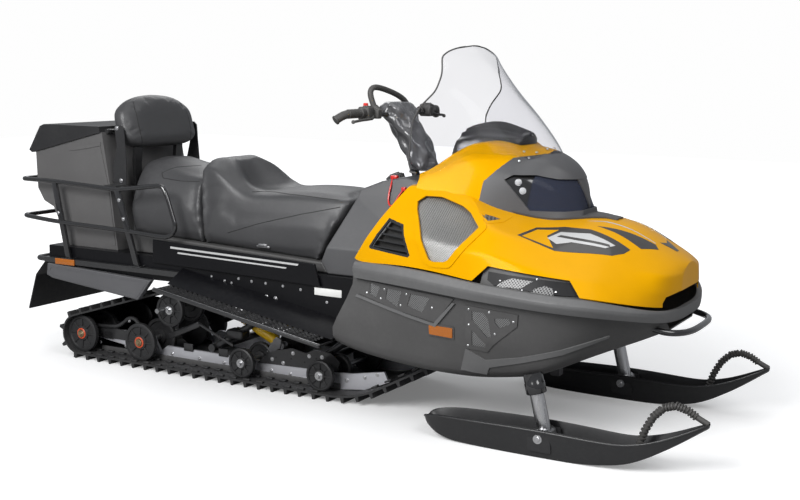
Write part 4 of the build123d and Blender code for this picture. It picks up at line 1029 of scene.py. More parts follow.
def makeSeat(facts):
    stations = []
    wide = facts["baseHalf"]
    beltZ, waistZ, out, drop, extra, near, far, swell = facts["waist"]
    for top, edgeW, edgeZ, shoulderW, shoulderZ, middle in facts["stations"]:
        share = (top - facts["topFront"]) / (facts["topRear"] - facts["topFront"])
        base = facts["baseFront"] + (facts["baseRear"] - facts["baseFront"]) * share
        low = seatBase["z"] - seatBase["drop"] * (base - seatBase["rear"]) / seatBase["long"]

        def slant(z):
            return base + (top - base) * min(max((z - low) / (edgeZ - low), 0), 1)
        stations.append([
            (base, 0, low), (base, wide - 26, low), (slant(low + 22), wide, low + 24),
            (slant(beltZ), wide + out, waistZ),
            (slant(shoulderZ - drop), (wide + extra) * near + shoulderW * far + swell, shoulderZ - drop - 2),
            (slant(shoulderZ), shoulderW, shoulderZ), (slant(edgeZ), edgeW, edgeZ),
            (slant(edgeZ), edgeW * 0.52, (edgeZ + middle * 2) / 3), (slant(edgeZ), 0, middle)])
    bm, rings, crease = padCage(stations)
    creaseColumns(bm, rings, crease, {5: facts["edgeCrease"], 11: facts["edgeCrease"], 1: 0.6, 15: 0.6})
    creaseEnds(bm, rings, crease, facts["endCrease"])
    return inflate(fitSmooth(shapeOf(facts["name"], fixNormals(bm)), 3, 3), facts["voxel"], facts["cap"])


backrestPad = {
    "voxel": 6, "cap": 6, "x": -1090, "z": 1010, "lean": 0.165, "thick": 106,
    # half-width station, bottom z, top z, share of the full thickness
    "stations": [(246, 1078, 1150, 0.5), (236, 1048, 1178, 0.8), (212, 1024, 1200, 1.0), (165, 1008, 1226, 1.12),
                 (90, 1003, 1244, 1.16), (0, 1002, 1250, 1.18)]}


backrestRing = [(-0.10, 0.0), (0.42, 0.06), (0.52, 0.24), (0.48, 0.5), (0.40, 0.78), (0.24, 0.96), (-0.04, 1.0),
                (-0.28, 0.94), (-0.38, 0.78), (-0.37, 0.5), (-0.34, 0.26), (-0.28, 0.06)]


def makeBackrest(facts=backrestPad):
    sections = []
    halves = [(-y, *rest) for y, *rest in facts["stations"]]
    for y, low, high, thick in halves + [(-y, *rest) for y, *rest in reversed(halves[:-1])]:
        ring = []
        for u, v in backrestRing:
            z = low + (high - low) * v
            spine = facts["x"] - (z - facts["z"]) * facts["lean"]
            ring.append(spot(spine + u * facts["thick"] * thick, y, z))
        sections.append(ring)
    bm, rings, crease = extrudeSections(sections, closed=True)
    closeEnds(bm, (rings[0], rings[-1]))
    return inflate(fitSmooth(shapeOf("backrestPad", fixNormals(bm)), 3, 3), facts["voxel"], facts["cap"])


driver = rebuilt("driverSeat", makeSeat(driverSeat), "seat_driver", seatVinyl, 60)
passenger = rebuilt("passengerSeat", makeSeat(passengerSeat), "seat_passenger", seatVinyl, 60)
backrest = rebuilt("backrestPad", makeBackrest(), "backrest", seatVinyl, 60)
seamFacts = {"radius": 1.7, "sink": 0.3, "step": 9}
# from where and which way a seam is seen, and which two axes its points give
seamWays = {"side": (Vector((0, -0.6, 0)), Vector((0, 1, 0)), (0, 2)),
            "front": (Vector((0, 0, 0)), Vector((-1, 0, 0)), (1, 2))}


def seamOn(tree, points, way):
    # a stitched welt laid on a cushion; points in millimetres
    start, aim, axes = seamWays[way]
    path = []
    for (a0, b0), (a1, b1) in zip(points, points[1:]):
        count = max(int(math.hypot(a1 - a0, b1 - b0) / seamFacts["step"]), 1)
        for index in range(count + (1 if (a1, b1) == points[-1] else 0)):
            origin = start.copy()
            origin[axes[0]] += (a0 + (a1 - a0) * index / count) * mm
            origin[axes[1]] += (b0 + (b1 - b0) * index / count) * mm
            place, normal = tree.ray_cast(origin, aim)[:2]
            if place:
                path.append((place - normal * seamFacts["sink"] * mm) / mm)
    return tube(path, seamFacts["radius"], 2)


seamSets = {
    "driverSeams": (driver, "side", [
        [(-487, 667), (-325, 719), (-120, 772), (60, 812)], [(-612, 640), (-648, 760), (-662, 880)],
        [(-400, 846), (-300, 850), (-120, 846), (40, 838)]]),
    "passengerSeams": (passenger, "side", [
        [(-910, 900), (-872, 925), (-770, 934), (-688, 922)], [(-910, 900), (-890, 880), (-790, 872), (-690, 874)],
        [(-1010, 640), (-1044, 760), (-1050, 860)]]),
    "backrestSeams": (backrest, "front", [[(-166, 1012), (-178, 1060), (-182, 1120), (-176, 1180), (-150, 1226)]])}
for name, (cushion, way, lines) in seamSets.items():
    cushionTree = treeOf(cushion)
    seams = [seamOn(cushionTree, points, way) for points in lines]
    addPiece(name, mirrored(joined(seams)), "chassis", shadeAndSeamBlack)
print("seats and backrest done")

# blocks with their edges rounded
for name, material, width in (
        ("seat_base", darkPlastic, 8), ("cargo_box", boxPlastic, 9), ("cargo_lid", lidPlastic, 7),
        ("console", podPlastic, 12), ("side_panels", sidePanelBlack, 4), ("rear_skirts", greyPlastic, 5),
        ("tail_lamp", reflectorRed, 4), ("vent_panels", darkPlastic, 1.5), ("rear_frame", blackSteel, 2),
        ("snow_flap", flapRubber, 2)):
    softened(name, "cargo_lid" if name == "cargo_lid" else "chassis", material, width)
print("blocks rounded")

for name, material in (
        ("track", trackRubber), ("slide_rails", railAlloy), ("axles", castMetal), ("drive_sprockets", wheelRubber),
        ("front_arm", blackSteel), ("rear_arm", blackSteel), ("tunnel", sidePanelBlack),
        ("backrest_frame", blackSteel)):
    dress(name, material)
print("frame nodes dressed")


# details laid on the body: each is given for the right side and mirrored

def plates(name, tree, outlines, offset, thick, material, holes=(), step=16, body="chassis",
           view="side", both=True, replaces=(), sharp=40):
    bm = joined([drapedPlate(tree, outline, offset, thick, holes, step, view) for outline in outlines])
    if both:
        mirrored(bm)
    return addPiece(name, bm, body, material, replaces, sharp=sharp)


def screwsOn(name, tree, spots, body="chassis", radius=5, lift=4):
    heads = []
    for x, z in spots:
        place, normal = sideHit(tree, x, z)
        heads.append(screwHead(place + normal * lift * mm, normal, radius, radius * 0.55))
    return addPiece(name, mirrored(joined(heads)), body, screwMetal, sharp=50)


# hood: screens, bezel, louvres, small vent and stripes
plates("sideScreens", hoodTree, [widened(meshOutline, 14)], -13, 1.5, wireScreen, step=24, body="hood",
       replaces=["side_meshes"])
bezelOutline = [(486, 884), (528, 920), (604, 920), (712, 888), (768, 862), (842, 812), (728, 660), (650, 656),
                (612, 668)]
plates("screenBezel", hoodTree, [roundCorners(bezelOutline, 14)], -1.5, 5, yellowBody, [meshOutline], 18, "hood")
# a near-black sheet set inside the hood behind the louvres: painted shade for the dark space behind them
plates("louvreShadeSheet", hoodTree, [widened(louvreOutline, 8)], -34, 2, shadeAndSeamBlack, step=40, body="hood",
       replaces=["side_louvres"])
plates("louvreFrame", hoodTree, [widened(louvreOutline, 1)], -6, 6, glossBlack, [widened(louvreOutline, -9)], 30,
       "hood")


def makeLouvreSlats():
    slats = []
    for index in range(4):
        z = 704 + index * 25
        share = (z - 694) / 110
        rear, front = 356 + share * 62, 534 - share * 52
        slat = [(rear, z), (front, z - 6), (front - 3, z - 1), (rear + 3, z + 5)]
        slats.append(drapedPlate(hoodTree, slat, -20, 16, step=40))
    return mirrored(joined(slats))


addPiece("louvreSlats", makeLouvreSlats(), "hood", glossBlack)
ventTriangle = [(776, 857), (852, 833), (824, 830)]
plates("smallVentFrame", hoodTree, [[(752, 868), (872, 838), (868, 824), (818, 822)]], -2, 3.2, yellowBody,
       [ventTriangle], 20, "hood")
plates("smallVentScreen", hoodTree, [widened(ventTriangle, -1)], -1, 1.4, fineScreen, step=20, body="hood")

# the hood's plates and stripes: finish, lift, outline
hoodStripes = {
    "badgePlate": (stripeDark, 0.4, [
        (944, -394), (975, -286), (1060, -214), (1151, -186), (1312, -203), (1300, -238), (1268, -278),
        (1086, -380)]),
    "badgeTip": (yellowBody, 0.8, [
        (960, -386), (984, -300), (1050, -250), (1030, -318), (1076, -370)]),
    "badgeBand": (stripeSilver, 1.2, [
        (1036, -330), (1062, -262), (1160, -216), (1262, -226), (1236, -262), (1120, -300), (1078, -342)]),
    "badgeLine": (stripeDark, 1.6, [
        (1062, -300), (1070, -282), (1242, -236), (1250, -246)]),
    "darkBar": (stripeDark, 0.5, [
        (1162, -147), (1368, -81), (1387, -102), (1340, -165)]),
    "thinStripe": (stripeSilver, 0.5, [
        (1111, -116), (1174, -80), (1363, -70), (1366, -74), (1172, -90)]),
    "noseMark": (stripeDark, 0.5, [
        (1372, -42), (1430, -12), (1430, 12), (1372, 42), (1386, 0)])}
for name, (finish, lift, outline) in hoodStripes.items():
    plates(name, hoodTree, [outline], lift, 0.5, finish, step=22, body="hood", view="top", both=name != "noseMark")
skirtPlan = [(752, -262), (867, -242), (931, -214), (1008, -170), (1060, -124), (1110, -78), (1159, -40), (1199, -36)]
plates("podSkirt", hoodTree, [bothHalves(skirtPlan) + [(760, 0)]], 1, 6, darkPlastic, step=24, body="hood",
       view="top", both=False)
print("hood details done")

# hull: recesses with screens, screws, reflectors
panTree = treeOf(pan)
rearWindows = [[(353, 559), (404, 550), (386, 505), (355, 517)], [(439, 549), (510, 547), (489, 482), (433, 507)],
               [(554, 543), (640, 538), (604, 476), (536, 494)]]
rearPlate = [(300, 512), (352, 566), (747, 548), (662, 446), (470, 474), (412, 488)]
frontWindows = [[(824, 512), (870, 511), (891, 489), (902, 421), (885, 418), (823, 477)],
                [(916, 496), (974, 501), (981, 481), (936, 460), (920, 477)],
                [(822, 438), (877, 394), (874, 379), (819, 378)]]
frontPlate = [(795, 530), (1011, 519), (1006, 474), (910, 394), (881, 361), (792, 364)]
plates("hullPlates", panTree, [rearPlate, frontPlate], 1.5, 3, darkPlastic, rearWindows + frontWindows, 30)
plates("hullScreens", panTree, [widened(rearPlate, -8), widened(frontPlate, -8)], 0.6, 1.2, fineScreen, step=30)
screwsOn("hullScrews", panTree, [
    (810, 517), (896, 515), (993, 491), (917, 436), (809, 458), (802, 377), (339, 519), (410, 506), (426, 544),
    (505, 492), (533, 539), (650, 501)])
recessLip = [(286, 498), (292, 508), (412, 486), (540, 462), (655, 442), (742, 534), (752, 530), (664, 430),
             (540, 450)]
plates("recessLip", panTree, [recessLip], 1, 7, beltPlastic, step=22)
plates("sideReflectors", panTree, [roundCorners([(635, 434), (636, 398), (737, 396), (739, 434)], 5)], 1, 6,
       reflectorOrange, step=30)
plates("sideReflectorFrames", panTree, [roundCorners([(629, 440), (630, 391), (743, 390), (745, 440)], 6)], 0.5, 3.5,
       darkPlastic, step=40)
# the pressed edge that runs from the low facet to the bow
creaseOutline = [(790, 362), (868, 326), (1010, 356), (1155, 398), (1308, 455), (1304, 446), (1160, 380), (1010, 334),
                 (880, 298), (864, 268), (760, 272)]
plates("hullCrease", panTree, [creaseOutline], -3, 8, beltPlastic, step=22, sharp=20)

# upper vent: raised plate with two screens
ventTree = treeOf(bpy.data.objects["vent_panelsSoft"])
ventWindows = [[(924, 613), (948, 635), (977, 647), (1057, 641), (1016, 613)],
               [(1060, 607), (1067, 618), (1101, 629), (1132, 621), (1139, 602)]]
ventPlate = [(884, 662), (1196, 640), (1232, 600), (1150, 600), (1060, 606), (1010, 612), (918, 612), (884, 632)]
plates("ventPlates", ventTree, [ventPlate], 0.5, 4, ventBlack, ventWindows, 26, sharp=4)
plates("ventScreens", ventTree, [widened(outline, 2) for outline in ventWindows], 1, 1.4, ventScreen, step=24,
       sharp=4)
screwsOn("ventScrews", ventTree, [(934, 634), (1068, 649), (1023, 609), (1145, 611)])
print("hull details done")


# front end: pod fittings, windshield trim, instrument pod, steering

def boxAlong(start, end, wide, high, bevel=1.5, up=(0, 0, 1)):
    # a straight bar of rectangular section between two points
    start, end = Vector(start), Vector(end)
    along = end - start
    bm = block((-wide / 2, -high / 2, 0), (wide / 2, high / 2, along.length), bevel, 2)
    forward = along.normalized()
    sideways = Vector(up).cross(forward)
    sideways = sideways.normalized() if sideways.length > 0.01 else Vector((1, 0, 0))
    turn = Matrix((sideways, forward.cross(sideways), forward)).transposed().to_4x4()
    bmesh.ops.transform(bm, matrix=Matrix.Translation(start * mm) @ turn, verts=bm.verts)
    return bm


def bolt(place, radius, high, axis):
    collar = radius * 1.5
    profile = [(0, high), (radius * 0.45, high), (radius * 0.5, high * 0.6), (radius * 0.92, high * 0.6),
               (radius, high * 0.45), (radius, 0.8), (collar, 0.8), (collar, -1)]
    return turned(profile, place, axis, 12)


def bolts(name, spots, body="chassis", radius=7, material=screwMetal, axis=(0, -1, 0), high=5):
    bm = joined([bolt(place, radius, high, axis) for place in spots])
    return addPiece(name, mirrored(bm), body, material, sharp=35)


bolts("podBolts", [(862, -209, 962), (880, -207, 930)], "hood", radius=9, axis=(0.35, -1, 0.2), high=7)
screwsOn("podScrews", fairingTree, [(846, 1040), (872, 1050)], "hood", radius=6, lift=1)
sheetScrews = []
for x, y in ((842, -120), (884, -92), (905, -36)):
    for turn in (-1, 1):
        place, normal = topHit(fairingTree, x, y * turn)
        sheetScrews.append(screwHead(place + normal * 4 * mm, normal, 6, 3.4))
addPiece("shieldScrews", joined(sheetScrews), "hood", screwMetal, sharp=50)


def onShield(x, z, side):
    place, normal = sideHit(shieldTree, x, z, side, 0.7)
    return place / mm


def makeShieldTrim():
    # rubber edging along each free rear edge, over the top
    edge = [(x, z) for x, z in shieldOutline if x < 574 and 955 < z < 1474 and (x < 512 or z > 1100)]
    trims = [tube([onShield(x + 2, z, side) for x, z in edge], 3.2, 3) for side in (-1, 1)]
    top = [onShield(556, 1466, -1), (566, -46, 1476), (570, 0, 1478), (566, 46, 1476), onShield(556, 1466, 1)]
    return joined(trims + [tube(top, 2.6, 3)])


addPiece("shieldTrim", makeShieldTrim(), "hood", darkPlastic)


dashShape = {"stations": 9, "points": 27, "rear": 560, "long": 270, "half": 182, "top": 1146, "low": 1046,
             "rise": 50, "ridge": 30, "ridges": 4.5}


def makeDashPleats(facts=dashShape):
    # moulded hood over the instruments: a crowned form with five pressed ridges
    sections = []
    for index in range(facts["stations"]):
        t = index / (facts["stations"] - 1)
        x, wide = facts["rear"] + facts["long"] * t, facts["half"] * (1 - 0.62 * t ** 1.6)
        top = facts["top"] + 34 * math.sin(min(t * 2.6, 1.57)) - 78 * max(t - 0.35, 0) ** 1.2
        low = facts["low"] + facts["rise"] * t
        section = []
        for step in range(-facts["points"], facts["points"] + 1):
            u = step / facts["points"]
            crown = (1 - abs(u) ** 2.6) ** 0.5
            wave = 0.5 - abs(math.sin(u * facts["ridges"] * math.pi))
            ridge = facts["ridge"] * wave * (1 - t * 0.5) * (1 - u * u)
            section.append(spot(x - 22 * (1 - crown) * (1 - t), u * wide, low + (top - low) * crown + ridge))
        sections.append(section)
    bm, rings, crease = extrudeSections(sections)
    for ring in (rings[0], rings[-1]):
        bm.faces.new(ring)
    faceOutwards(bm, spot(690, 0, 1080))
    obj = shapeOf("dashPleats", bm)
    addSubsurf(obj, 1)
    return settleModifiers(obj)


rebuilt("dashPleats", makeDashPleats(), "dash", dashGrey, 40, body="hood")

steering = {"gripRadius": 17, "loopRadius": 12}


def makeGrips():
    # ribbed rubber, bent down at its outer end
    grips = []
    for side in (-1, 1):
        path = [Vector((x, side * y, z)) for x, y, z in (
            (212, 306, 1207), (206, 340, 1208), (196, 375, 1205), (184, 402, 1196), (172, 420, 1182))]
        grips.append(tube(path, steering["gripRadius"], 5))
        along = (path[2] - path[0]).normalized()
        for index in range(9):
            place = path[0].lerp(path[2], (index + 0.7) / 9.6)
            grips.append(turned([(16, -2.6), (18.6, -1.6), (18.6, 1.6), (16, 2.6)], place, along, 20))
        end = [(0, 5), (12, 4.5), (18.5, 2), (19.5, -3), (16, -6)]
        grips.append(turned(end, path[-1], path[-1] - path[-2], 20))
    return joined(grips)


rebuilt("gripRubbers", makeGrips(), "grips", gripRubber, 45, body="handlebar")


def makeBar():
    half = ((208, 40, 1190), (214, 110, 1196), (216, 200, 1206), (214, 308, 1207))
    bars = [tube([(x, side * y, z) for x, y, z in half], 11) for side in (-1, 1)]
    bars.append(tube([(206, -60, 1190), (206, 60, 1190)], 13, smooth=False))
    bars.append(tube([(310, 0, 930), (208, 0, 1200)], 17, smooth=False))
    return joined(bars)


rebuilt("steeringBar", makeBar(), "handlebar", blackSteel, body="handlebar")
loop = [(172, -118, 1218), (158, -122, 1252), (148, -120, 1290), (156, -104, 1308), (166, -60, 1303), (180, 0, 1287),
        (192, 60, 1266), (200, 100, 1240), (204, 112, 1214)]
loopGrip = joined([
    tube(loop, steering["loopRadius"], 5), tube([(172, -118, 1226), (204, -116, 1200)], 13, smooth=False),
    tube([(204, 112, 1220), (208, 112, 1198)], 13, smooth=False)])
rebuilt("loopGrip", loopGrip, "loop_bar", gripRubber, body="handlebar")


def makeControls():
    # throttle and switch housings, levers and clamps
    parts = []
    across, upright = (0, 1, 0), (0, 0, 1)
    for side in (-1, 1):
        y = side * 236
        for reach, low, high, bevel, segments in ((44, (186, 1178), (240, 1232), 8, 3),
                                                  (-30, (222, 1184), (258, 1222), 6, 3)):
            near, far = sorted((y, y + side * reach))
            parts.append(block((low[0], near, low[1]), (high[0], far, high[1]), bevel, segments))
        parts.append(turned(drum(19, 16, 4, 3), (214, side * 294, 1207), across, 20))
        parts.append(turned(drum(18, 9, 2, 3), (214, side * 196, 1205), across, 20))
        lever = [(236, side * 240, 1196), (252, side * 262, 1188), (254, side * 300, 1184), (246, side * 352, 1182),
                 (232, side * 386, 1176)]
        parts.append(tube(lever, 5.5))
        parts.append(turned([(0, -5), (7, -4), (8, 0), (7, 4), (0, 5)], lever[-1], (0.3, side, 0), 12))
        for index in range(3):
            place = (206 + 12 * index, side * 258, 1233)
            parts.append(turned([(0, 4), (5, 3), (6, 0), (6, -3)], place, upright, 12))
    return joined(parts)


rebuilt("barControls", makeControls(), "controls", gripRubber, 40, body="handlebar")
stopButton = turned([(0, 10), (8, 9.5), (10, 7), (10, 0), (12, -1), (12, -4)], (196, -232, 1236), (0, 0, 1), 24)
addPiece("stopButton", stopButton, "handlebar", buttonRed)
# the column cover's rows: z, half-width, half-depth, x of its middle
coverRows = [(966, 54, 56, 348), (992, 62, 64, 340), (1040, 66, 66, 320), (1095, 70, 66, 288), (1145, 80, 66, 254),
             (1190, 94, 66, 228), (1226, 97, 58, 215), (1246, 76, 40, 210)]
coverFacts = {"seed": 7, "rings": 22, "around": 30, "folds": 0.10, "creases": 0.07, "unevenness": 0.05}


def makeColumnCover(facts=coverFacts, rows=coverRows):
    # soft cover round the column: a creased sleeve that widens to the bar
    random.seed(facts["seed"])
    sections = []
    for step in range(facts["rings"]):
        share = step / (facts["rings"] - 1) * (len(rows) - 1)
        level = min(int(share), len(rows) - 2)
        z, wide, deep, x = (a + (b - a) * (share - level) for a, b in zip(rows[level], rows[level + 1]))
        section = []
        for turn in range(facts["around"]):
            angle = turn / facts["around"] * 2 * math.pi
            fold = 1 + facts["folds"] * math.sin(angle * 4 + share * 1.9)
            fold += facts["creases"] * math.sin(angle * 7 - share * 3.1)
            fold += random.uniform(-facts["unevenness"], facts["unevenness"])
            section.append(spot(x + math.cos(angle) * deep * fold, math.sin(angle) * wide * fold, z))
        sections.append(section)
    bm, rings, crease = extrudeSections(sections, closed=True)
    closeEnds(bm, (rings[0], rings[-1]))
    obj = shapeOf("columnCover", fixNormals(bm))
    addSubsurf(obj, 2)
    return settleModifiers(obj)


cover = rebuilt("columnCover", makeColumnCover(), "bar_pad", coverGrey, 60, body="handlebar")


# console: fuel cap and the stop switch's clip

def makeCap():
    upright = (0, 0, 1)
    parts = [turned([(0, 17), (30, 17), (35, 14), (37.5, 9), (37.5, -14), (33, -19)], (0, 0, 0), upright, 48)]
    for index in range(24):
        angle = index / 24 * 2 * math.pi
        rib = (math.cos(angle) * 37.5, math.sin(angle) * 37.5, 0)
        parts.append(turned([(0, 13), (2.4, 12), (2.6, -12), (0, -13)], rib, upright, 8))
    parts.append(block((-24, -5, 14), (24, 5, 24), 3, 3))
    bm = joined(parts)
    tilt = Matrix.Rotation(math.radians(-21), 4, "Y")
    bmesh.ops.transform(bm, matrix=Matrix.Translation(spot(207, 0, 924)) @ tilt, verts=bm.verts)
    return bm


rebuilt("fuelCap", makeCap(), "fuel_cap", darkPlastic, 35)
consoleTree = treeOf(bpy.data.objects["consoleSoft"])


def makeStopClip():
    # a short stiff clip with its strap folded on the console
    path = []
    for x, y in ((262, -118), (272, -140), (266, -164), (284, -180), (302, -176), (312, -158), (330, -150)):
        place, normal = topHit(consoleTree, x, y)
        path.append(place / mm + normal * 6)
    near, far = path[0].z, path[-1].z
    return joined([tube(path, 3.6, 3), block((252, -126, near - 8), (282, -104, near + 10), 4),
                   block((322, -160, far - 4), (342, -140, far + 12), 3)])


addPiece("stopClip", makeStopClip(), "chassis", buttonRed)
print("front end done")


# rear: racks, backrest brackets, lid hinges, reflectors, boards and tunnel fixings

rackShape = {"y": 334, "radius": 10.5, "postWide": 28, "postDeep": 16}


def makeRacks():
    # two rails that run right round the back, and two posts a side
    y = rackShape["y"]
    inner, corner = y - 34, y - 6
    half = [(-1644, 0, 846), (-1644, y - 60, 846), (-1644, inner, 846), (-1634, corner, 846)]
    half += [(x, y, z) for x, z in (
        (-1606, 846), (-1427, 846), (-1070, 829), (-1040, 829), (-840, 856), (-800, 861), (-770, 850), (-722, 716),
        (-712, 686), (-724, 654), (-756, 636), (-800, 634), (-1000, 646), (-1405, 655), (-1602, 669))]
    half += [(-1632, corner, 672), (-1642, inner, 672), (-1642, y - 60, 672), (-1642, 0, 672)]
    parts = [tube([(x, turn * v, z) for x, v, z in half], rackShape["radius"]) for turn in (-1, 1)]
    for turn in (-1, 1):
        side = turn * (y + 1)
        for topX, topZ, footX, footZ in ((-1430, 846, -1352, 487), (-1046, 832, -935, 487)):
            parts.append(boxAlong((topX, side, topZ), (footX, side, footZ), rackShape["postDeep"],
                                  rackShape["postWide"], 3, up=(1, 0, 0)))
            parts.append(block((footX - 34, turn * y - 18, 486), (footX + 30, turn * y + 18, 491), 1.5))
    return joined(parts)


rebuilt("sideRacks", makeRacks(), "side_racks", glossBlack, 40)
bolts("rackBolts", [(-1029, -343, 783), (-1006, -343, 699), (-1404, -343, 700)], radius=6)


bracket = [(-1132, 829), (-1130, 929), (-1106, 1020), (-1118, 1098), (-1112, 1112), (-1082, 1112), (-1066, 1098),
           (-1060, 1022), (-1052, 933), (-1060, 829)]
bracketFoot = [(-1120, 829), (-1120, 846), (-1052, 846), (-1052, 829)]
brackets = [prism(bracket, "y", -263, -257), prism(bracketFoot, "y", -336, -257),
            boxAlong((-1104, -262, 1100), (-1104, -150, 1100), 16, 16, 2)]
addPiece("backrestBrackets", mirrored(joined(brackets)), "chassis", blackSteel, sharp=30)
bolts("bracketBolts", [(-1104, -263, 1100), (-1086, -263, 862)])
hingeSpots = (-222, -120, 120, 222)
hinges = [turned(drum(11, 26, 1, 2), (-1181, y, 1081), (0, 1, 0), 20) for y in hingeSpots]
hinges += [block((-1200, y - 20, 1084), (-1176, y + 20, 1092), 2) for y in hingeSpots]
addPiece("lidHinges", joined(hinges), "cargo_lid", blackSteel)
boxTree = treeOf(bpy.data.objects["cargo_boxSoft"])
boxRibs = [[(-1387, 986), (-1324, 1012), (-1192, 1032), (-1192, 1017), (-1314, 994)],
           [(-1226, 1006), (-1194, 1014), (-1152, 842), (-1116, 560), (-1138, 560), (-1176, 838)]]
plates("boxRibs", boxTree, boxRibs, -1, 4, boxPlastic, step=40)
beamLamp = block((-1426, -353, 458), (-1306, -345, 486), 3, 3)
addPiece("beamReflectors", mirrored(beamLamp), "chassis", reflectorOrange)
skirtTree = treeOf(bpy.data.objects["rear_skirtsSoft"])
skirtEdge = roundCorners([(-1466, 448), (-1472, 408), (-1446, 396), (-930, 346), (-862, 428)], 12)
skirtField = roundCorners([(-1456, 440), (-1462, 412), (-1442, 404), (-936, 355), (-880, 422)], 10)
plates("skirtBorders", skirtTree, [skirtEdge], -0.5, 2, greyPlastic, [skirtField], 90)
blankPlate = block((10, -324.5, 456), (142, -322, 487), 0.8)
addPiece("blankPlates", mirrored(blankPlate), "chassis", plateWhite)
bolts("tunnelRivets", [(x, -322.5, z) for x, z in (
    (-526, 481), (-455, 468), (-380, 485), (-311, 480), (-238, 479), (-418, 463), (-600, 470), (-150, 476),
    (-60, 470), (70, 430))], radius=4, high=3)
latch = joined([block((-334, -255, 616), (-266, -247, 626), 2), block((-322, -259, 622), (-278, -250, 634), 2)])
addPiece("seatLatches", mirrored(latch), "chassis", castMetal)
bolts("tunnelBolts", [(-234, -322.5, 421), (-187, -322.5, 418)])
panelTree = treeOf(bpy.data.objects["side_panelsSoft"])
panelStripes = [[(-740, 596), (-60, 580), (-66, 572), (-742, 587)],
                [(-700, 574), (-120, 560), (-126, 554), (-702, 567)]]
plates("panelStripes", panelTree, panelStripes, 0.3, 0.6, stripeSilver, step=80)
boards = {"rear": -690, "front": 160, "rearZ": 447, "frontZ": 303, "edge": -514, "pitch": 26, "barPitch": 68}


def makeBoards(facts=boards):
    # an open grate: outer rail, toothed strips and cross bars
    rear, front, edge = facts["rear"], facts["front"], facts["edge"]

    def deckZ(x):
        return facts["rearZ"] + (facts["frontZ"] - facts["rearZ"]) * (x - rear) / (front - rear)

    def lengthwise(y, lift, wide, high, bevel, up=(0, -1, 0)):
        return boxAlong((rear, y, deckZ(rear) + lift), (front, y, deckZ(front) + lift), wide, high, bevel, up)
    parts = [lengthwise(edge, -10, 14, 17, 2.5)]
    top = lengthwise(edge, -1.2, 1.6, 5, 0.5)
    flange = lengthwise(-370, 26, 108, 3, 0.8, (0, -0.52, 0.85))
    count = int((front - rear - 20) / facts["pitch"])
    for y in (-424, -446, -468, -490):
        outline = []
        for index in range(count):
            x = rear + 10 + index * facts["pitch"]
            outline += [(x, deckZ(x) - 8), (x + 9, deckZ(x) - 1), (x + 17, deckZ(x) - 1)]
        low = [(x, z - 10) for x, z in (outline[-1], outline[0])]
        parts.append(prism(outline + low, "y", y - 2, y + 2))
    for x in range(rear + 20, front, facts["barPitch"]):
        parts.append(block((x - 4, -512, deckZ(x) - 17), (x + 4, -324, deckZ(x) - 11)))
    return mirrored(joined(parts)), mirrored(top), mirrored(flange)


boardMesh, boardTop, boardFlange = makeBoards()
addPiece("boardFlanges", boardFlange, "chassis", sidePanelBlack)
rebuilt("footBoards", boardMesh, "running_boards", blackSteel)
addPiece("boardEdges", boardTop, "chassis", castMetal)
print("rear done")

# suspension: wheels, rails' fittings, shocks and the belt's inner lugs
# each set of wheels: x, z, radius, whether it has a brass cap and a red ring
wheelSets = {
    "rear": (-1346, 119, 89, True), "second": (-988, 119, 89, True), "idler": (-808, 290, 76, False),
    "front": (-410, 97, 67, False), "first": (0, 97, 67, False)}
wheelHalf = 13


def makeWheels():
    rubber, rings, brass, bright = [], [], [], []
    w = wheelHalf
    for x, z, r, isBrass in wheelSets.values():
        profile = [(0, -w), (r * 0.9, -w), (r - 1, -w + 3), (r, -w + 7), (r, w - 7), (r - 1, w - 3), (r * 0.9, w),
                   (r * 0.82, w - 0.5), (r * 0.78, w - 6), (r * 0.42, w - 8), (r * 0.38, w - 1), (r * 0.26, w + 1),
                   (0, w + 1)]
        if isBrass:
            ring = [(r * 0.22, 0), (r * 0.22, 3), (r * 0.27, 3), (r * 0.29, 1.5), (r * 0.29, -2)]
            cap = [(0, 13), (9, 13), (11, 9), (16, 8), (r * 0.21, 4), (r * 0.22, -1)]
        else:
            ring = [(14, 0), (14, 2), (19, 2), (20, 0)]
            cap = [(0, 13), (8, 13), (9, 10), (9, 4), (15, 4), (16, -1)]
        for y, out in ((-262, -1), (-120, -1), (120, 1), (262, 1)):
            axle, face = (0, out, 0), (x, y + out * (w + 1), z)
            rubber.append(turned(profile, (x, y, z), axle, 40))
            if abs(y) < 200:
                continue
            for direction in directions(8):
                start = Vector((x, y + out * (w - 5), z)) + direction * r * 0.38
                rubber.append(boxAlong(start, start + direction * r * 0.42, 6, 6, 1, up=(0, 1, 0)))
            (rings if isBrass else bright).append(turned(ring, face, axle, 32 if isBrass else 24))
            (brass if isBrass else bright).append(turned(cap, face, axle, 24))
    return joined(rubber), joined(rings), joined(brass), joined(bright)


tyres, ringMesh, capMesh, hubMesh = makeWheels()
rebuilt("wheelDiscs", tyres, "road_wheels", wheelRubber)
addPiece("wheelRings", ringMesh, "chassis", ringRed)
addPiece("wheelCaps", capMesh, "chassis", hubBrass)
addPiece("wheelHubs", hubMesh, "chassis", screwMetal)
railPlate = [(-365, 96), (-305, 148), (-188, 179), (-112, 166), (-74, 186), (13, 182), (60, 150), (40, 104),
             (-372, 92)]
bogiePlate = [(-1320, 96), (-1330, 140), (-1240, 150), (-1140, 142), (-1040, 166), (-1000, 158), (-960, 110),
              (-960, 96)]
bogiePipe = [(-1327, -206, 150), (-1195, -206, 152), (-1141, -206, 182), (-1108, -206, 212), (-1064, -206, 208),
             (-1043, -206, 176)]
fittings = [
    prism(railPlate, "y", -204, -199), prism(bogiePlate, "y", -204, -199),
    boxAlong((-865, -206, 150), (-690, -206, 228), 12, 26, 4),
    boxAlong((-690, -206, 228), (-500, -206, 150), 10, 12, 3),
    block((-560, -186, 172), (-468, -118, 216), 12, 3), tube(bogiePipe, 9, 3)]
fittings += [block((x - 26, -204, 92), (x + 26, -198, 128), 2) for x in (-1240, -760, -560)]
addPiece("railFittings", mirrored(joined(fittings)), "chassis", blackSteel, sharp=35)
